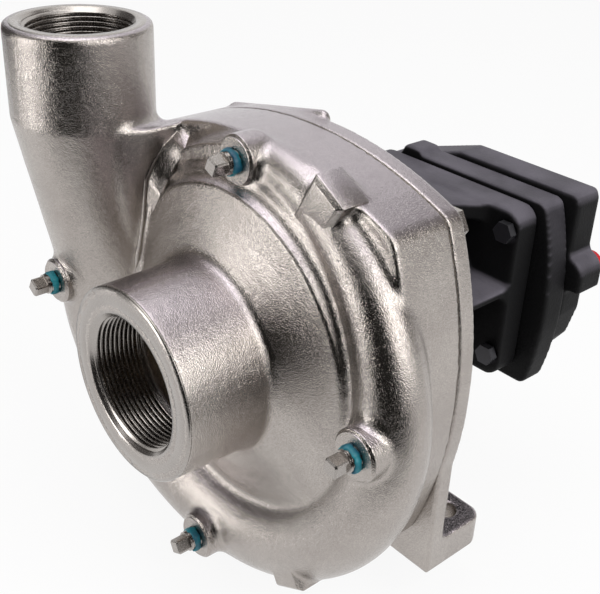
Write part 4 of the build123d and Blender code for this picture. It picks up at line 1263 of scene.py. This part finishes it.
@dataclass
class Studio:
    """Floor, world, softboxes, dark cards and the camera at the photograph's place."""

    sight: Sight = Sight()
    floor_level: float = -0.0260
    floor_width: float = 8.0
    floor_pale: Colour = (0.86, 0.86, 0.86)
    floor_dull: Colour = (0.82, 0.82, 0.82)
    floor_white: float = 0.90
    aim: Point = (0.0, -0.02, 0.11)
    sensor: float = 36.0
    room: Colour = (0.55, 0.54, 0.55)
    card_colour: Colour = (1.0, 0.94, 0.92)
    card_dimmest: float = 0.02
    boxes: tuple[Panel, ...] = (
        Panel("right_softbox", 46.0, 38.0, 1.1, 0.55, 0.80, 4.4),
        Panel("left_softbox", -72.0, 0.0, 1.1, 0.42, 0.72, 5.8),
        Panel("overhead", -100.0, 80.0, 1.2, 0.75, 0.70, 2.6),
    )
    cards: tuple[Panel, ...] = (
        Panel("front_card", -17.0, 22.0, 0.70, 1.20, 0.95),
        Panel("front_floor_card", -8.0, -15.0, 0.30, 0.84, 0.20),
        Panel("left_card", -112.0, 13.0, 0.90, 1.14, 1.15, 0.08),
        Panel("right_card", 104.0, 34.0, 0.90, 1.00, 1.05, 0.22),
    )

    def _camera(self) -> None:
        """Place the camera."""
        right, top, ahead = self.sight.axes()
        data = bpy.data.cameras.new("camera")
        data.lens = self.sight.focal_pixels * self.sensor / self.sight.width
        data.sensor_width = self.sensor
        data.clip_start = 0.01
        camera = bpy.data.objects.new("camera", data)
        bpy.context.scene.collection.objects.link(camera)
        turning = Matrix((right, top, -ahead)).transposed().to_4x4()
        camera.matrix_world = Matrix.Translation(Vector(self.sight.place)) @ turning
        bpy.context.scene.camera = camera

    def _facing(self, panel: Panel) -> Matrix:
        """Place and turning of a panel that faces the pump.

        Args:
            panel: The panel.

        Returns:
            Its matrix; the panel looks along its own -Z.
        """
        turn = math.radians(self.sight.azimuth + panel.azimuth)
        tilt = math.radians(panel.elevation)
        out = Vector((math.sin(turn) * math.cos(tilt), -math.cos(turn) * math.cos(tilt), math.sin(tilt)))
        place = Vector(self.aim) + out * panel.distance
        return Matrix.Translation(place) @ (-out).to_track_quat("-Z", "Y").to_matrix().to_4x4()

    def _box(self, panel: Panel) -> None:
        """Hang a softbox.

        Args:
            panel: Its place, size and radiance.
        """
        data = bpy.data.lights.new(panel.name, "AREA")
        data.shape = "RECTANGLE"
        data.size = panel.width
        data.size_y = panel.height
        data.energy = panel.radiance * math.pi * panel.width * panel.height
        data.color = panel.tint
        lamp = bpy.data.objects.new(panel.name, data)
        bpy.context.scene.collection.objects.link(lamp)
        lamp.matrix_world = self._facing(panel)

    @staticmethod
    def _sheet(name: str, width: float, height: float) -> bpy.types.Object:
        """Make a flat sheet about its own middle."""
        corners = np.array([(-1, -1, 0), (1, -1, 0), (1, 1, 0), (-1, 1, 0)]) * (width / 2, height / 2, 0.0)
        return Shaper.from_mesh(name, corners, [(0, 1, 2, 3)])

    def _card(self, panel: Panel) -> None:
        """Stand a dark card that the metal mirrors and the camera doesn't see.

        Args:
            panel: Its place and size.
        """
        card = self._sheet(panel.name, panel.width, panel.height)
        card.matrix_world = self._facing(panel)
        card.visible_camera = False
        card.visible_diffuse = False
        card.visible_shadow = False
        shading = Shading(bpy.data.materials.new(panel.name))
        cloth = shading.node(
            "ShaderNodeEmission",
            {},
            {"Color": (*self.card_colour, 1.0), "Strength": self.card_dimmest + panel.radiance},
        )
        shading.node("ShaderNodeOutputMaterial", {}, {"Surface": cloth.outputs[0]})
        card.data.materials.append(shading.owner)

    @staticmethod
    def _shown(shading: Shading) -> Signal:
        """1 for rays that show the background: straight, mirrored or seen through glass."""
        rays = shading.node("ShaderNodeLightPath").outputs
        straight = Signal(shading, rays["Is Camera Ray"])
        mirrored = Signal(shading, rays["Is Glossy Ray"])
        through = Signal(shading, rays["Is Transmission Ray"])
        return (straight + mirrored + through).over(0.0, 0.5)

    def _floor(self) -> None:
        """Lay the pale floor, shown white apart from the pump's soft shadow."""
        floor = self._sheet("floor", self.floor_width, self.floor_width)
        floor.data.transform(Matrix.Translation((0.0, 0.0, self.floor_level)))
        shading = Shading(bpy.data.materials.new("floor"))
        tone = shading.noise(6.0, 2.0)
        paper = shading.blend(tone, self.floor_pale, self.floor_dull)
        matt = shading.node("ShaderNodeBsdfDiffuse", {}, {"Color": paper})
        glow = shading.node("ShaderNodeEmission", {}, {"Color": (1.0, 1.0, 1.0, 1.0), "Strength": 1.0})
        share = self._shown(shading) * self.floor_white
        mixed = shading.node("ShaderNodeMixShader", {}, {0: share, 1: matt.outputs[0], 2: glow.outputs[0]})
        shading.node("ShaderNodeOutputMaterial", {}, {"Surface": mixed.outputs[0]})
        floor.data.materials.append(shading.owner)

    def _world(self) -> None:
        """Colour the world: white where it is shown, an even grey room as light."""
        shading = Shading(bpy.data.worlds.new("world"))
        bpy.context.scene.world = shading.owner
        shown = shading.blend(self._shown(shading), self.room, (1.0, 1.0, 1.0))
        sky = shading.node("ShaderNodeBackground", {}, {"Color": shown, "Strength": 1.0})
        shading.node("ShaderNodeOutputWorld", {}, {"Surface": sky.outputs[0]})

    def build(self) -> None:
        """Set up the studio."""
        self._camera()
        self._floor()
        self._world()
        for panel in self.boxes:
            self._box(panel)
        for panel in self.cards:
            self._card(panel)
        bpy.context.scene.view_settings.view_transform = "Standard"


def main() -> None:
    """Build and dress the pump, then light it."""
    logging.basicConfig(level=logging.INFO, format="%(message)s")
    WetEnd().build()
    PlugSet().build()
    Motor().build()
    CarriedNodes().build()
    Studio().build()


if __name__ == "__main__":
    main()
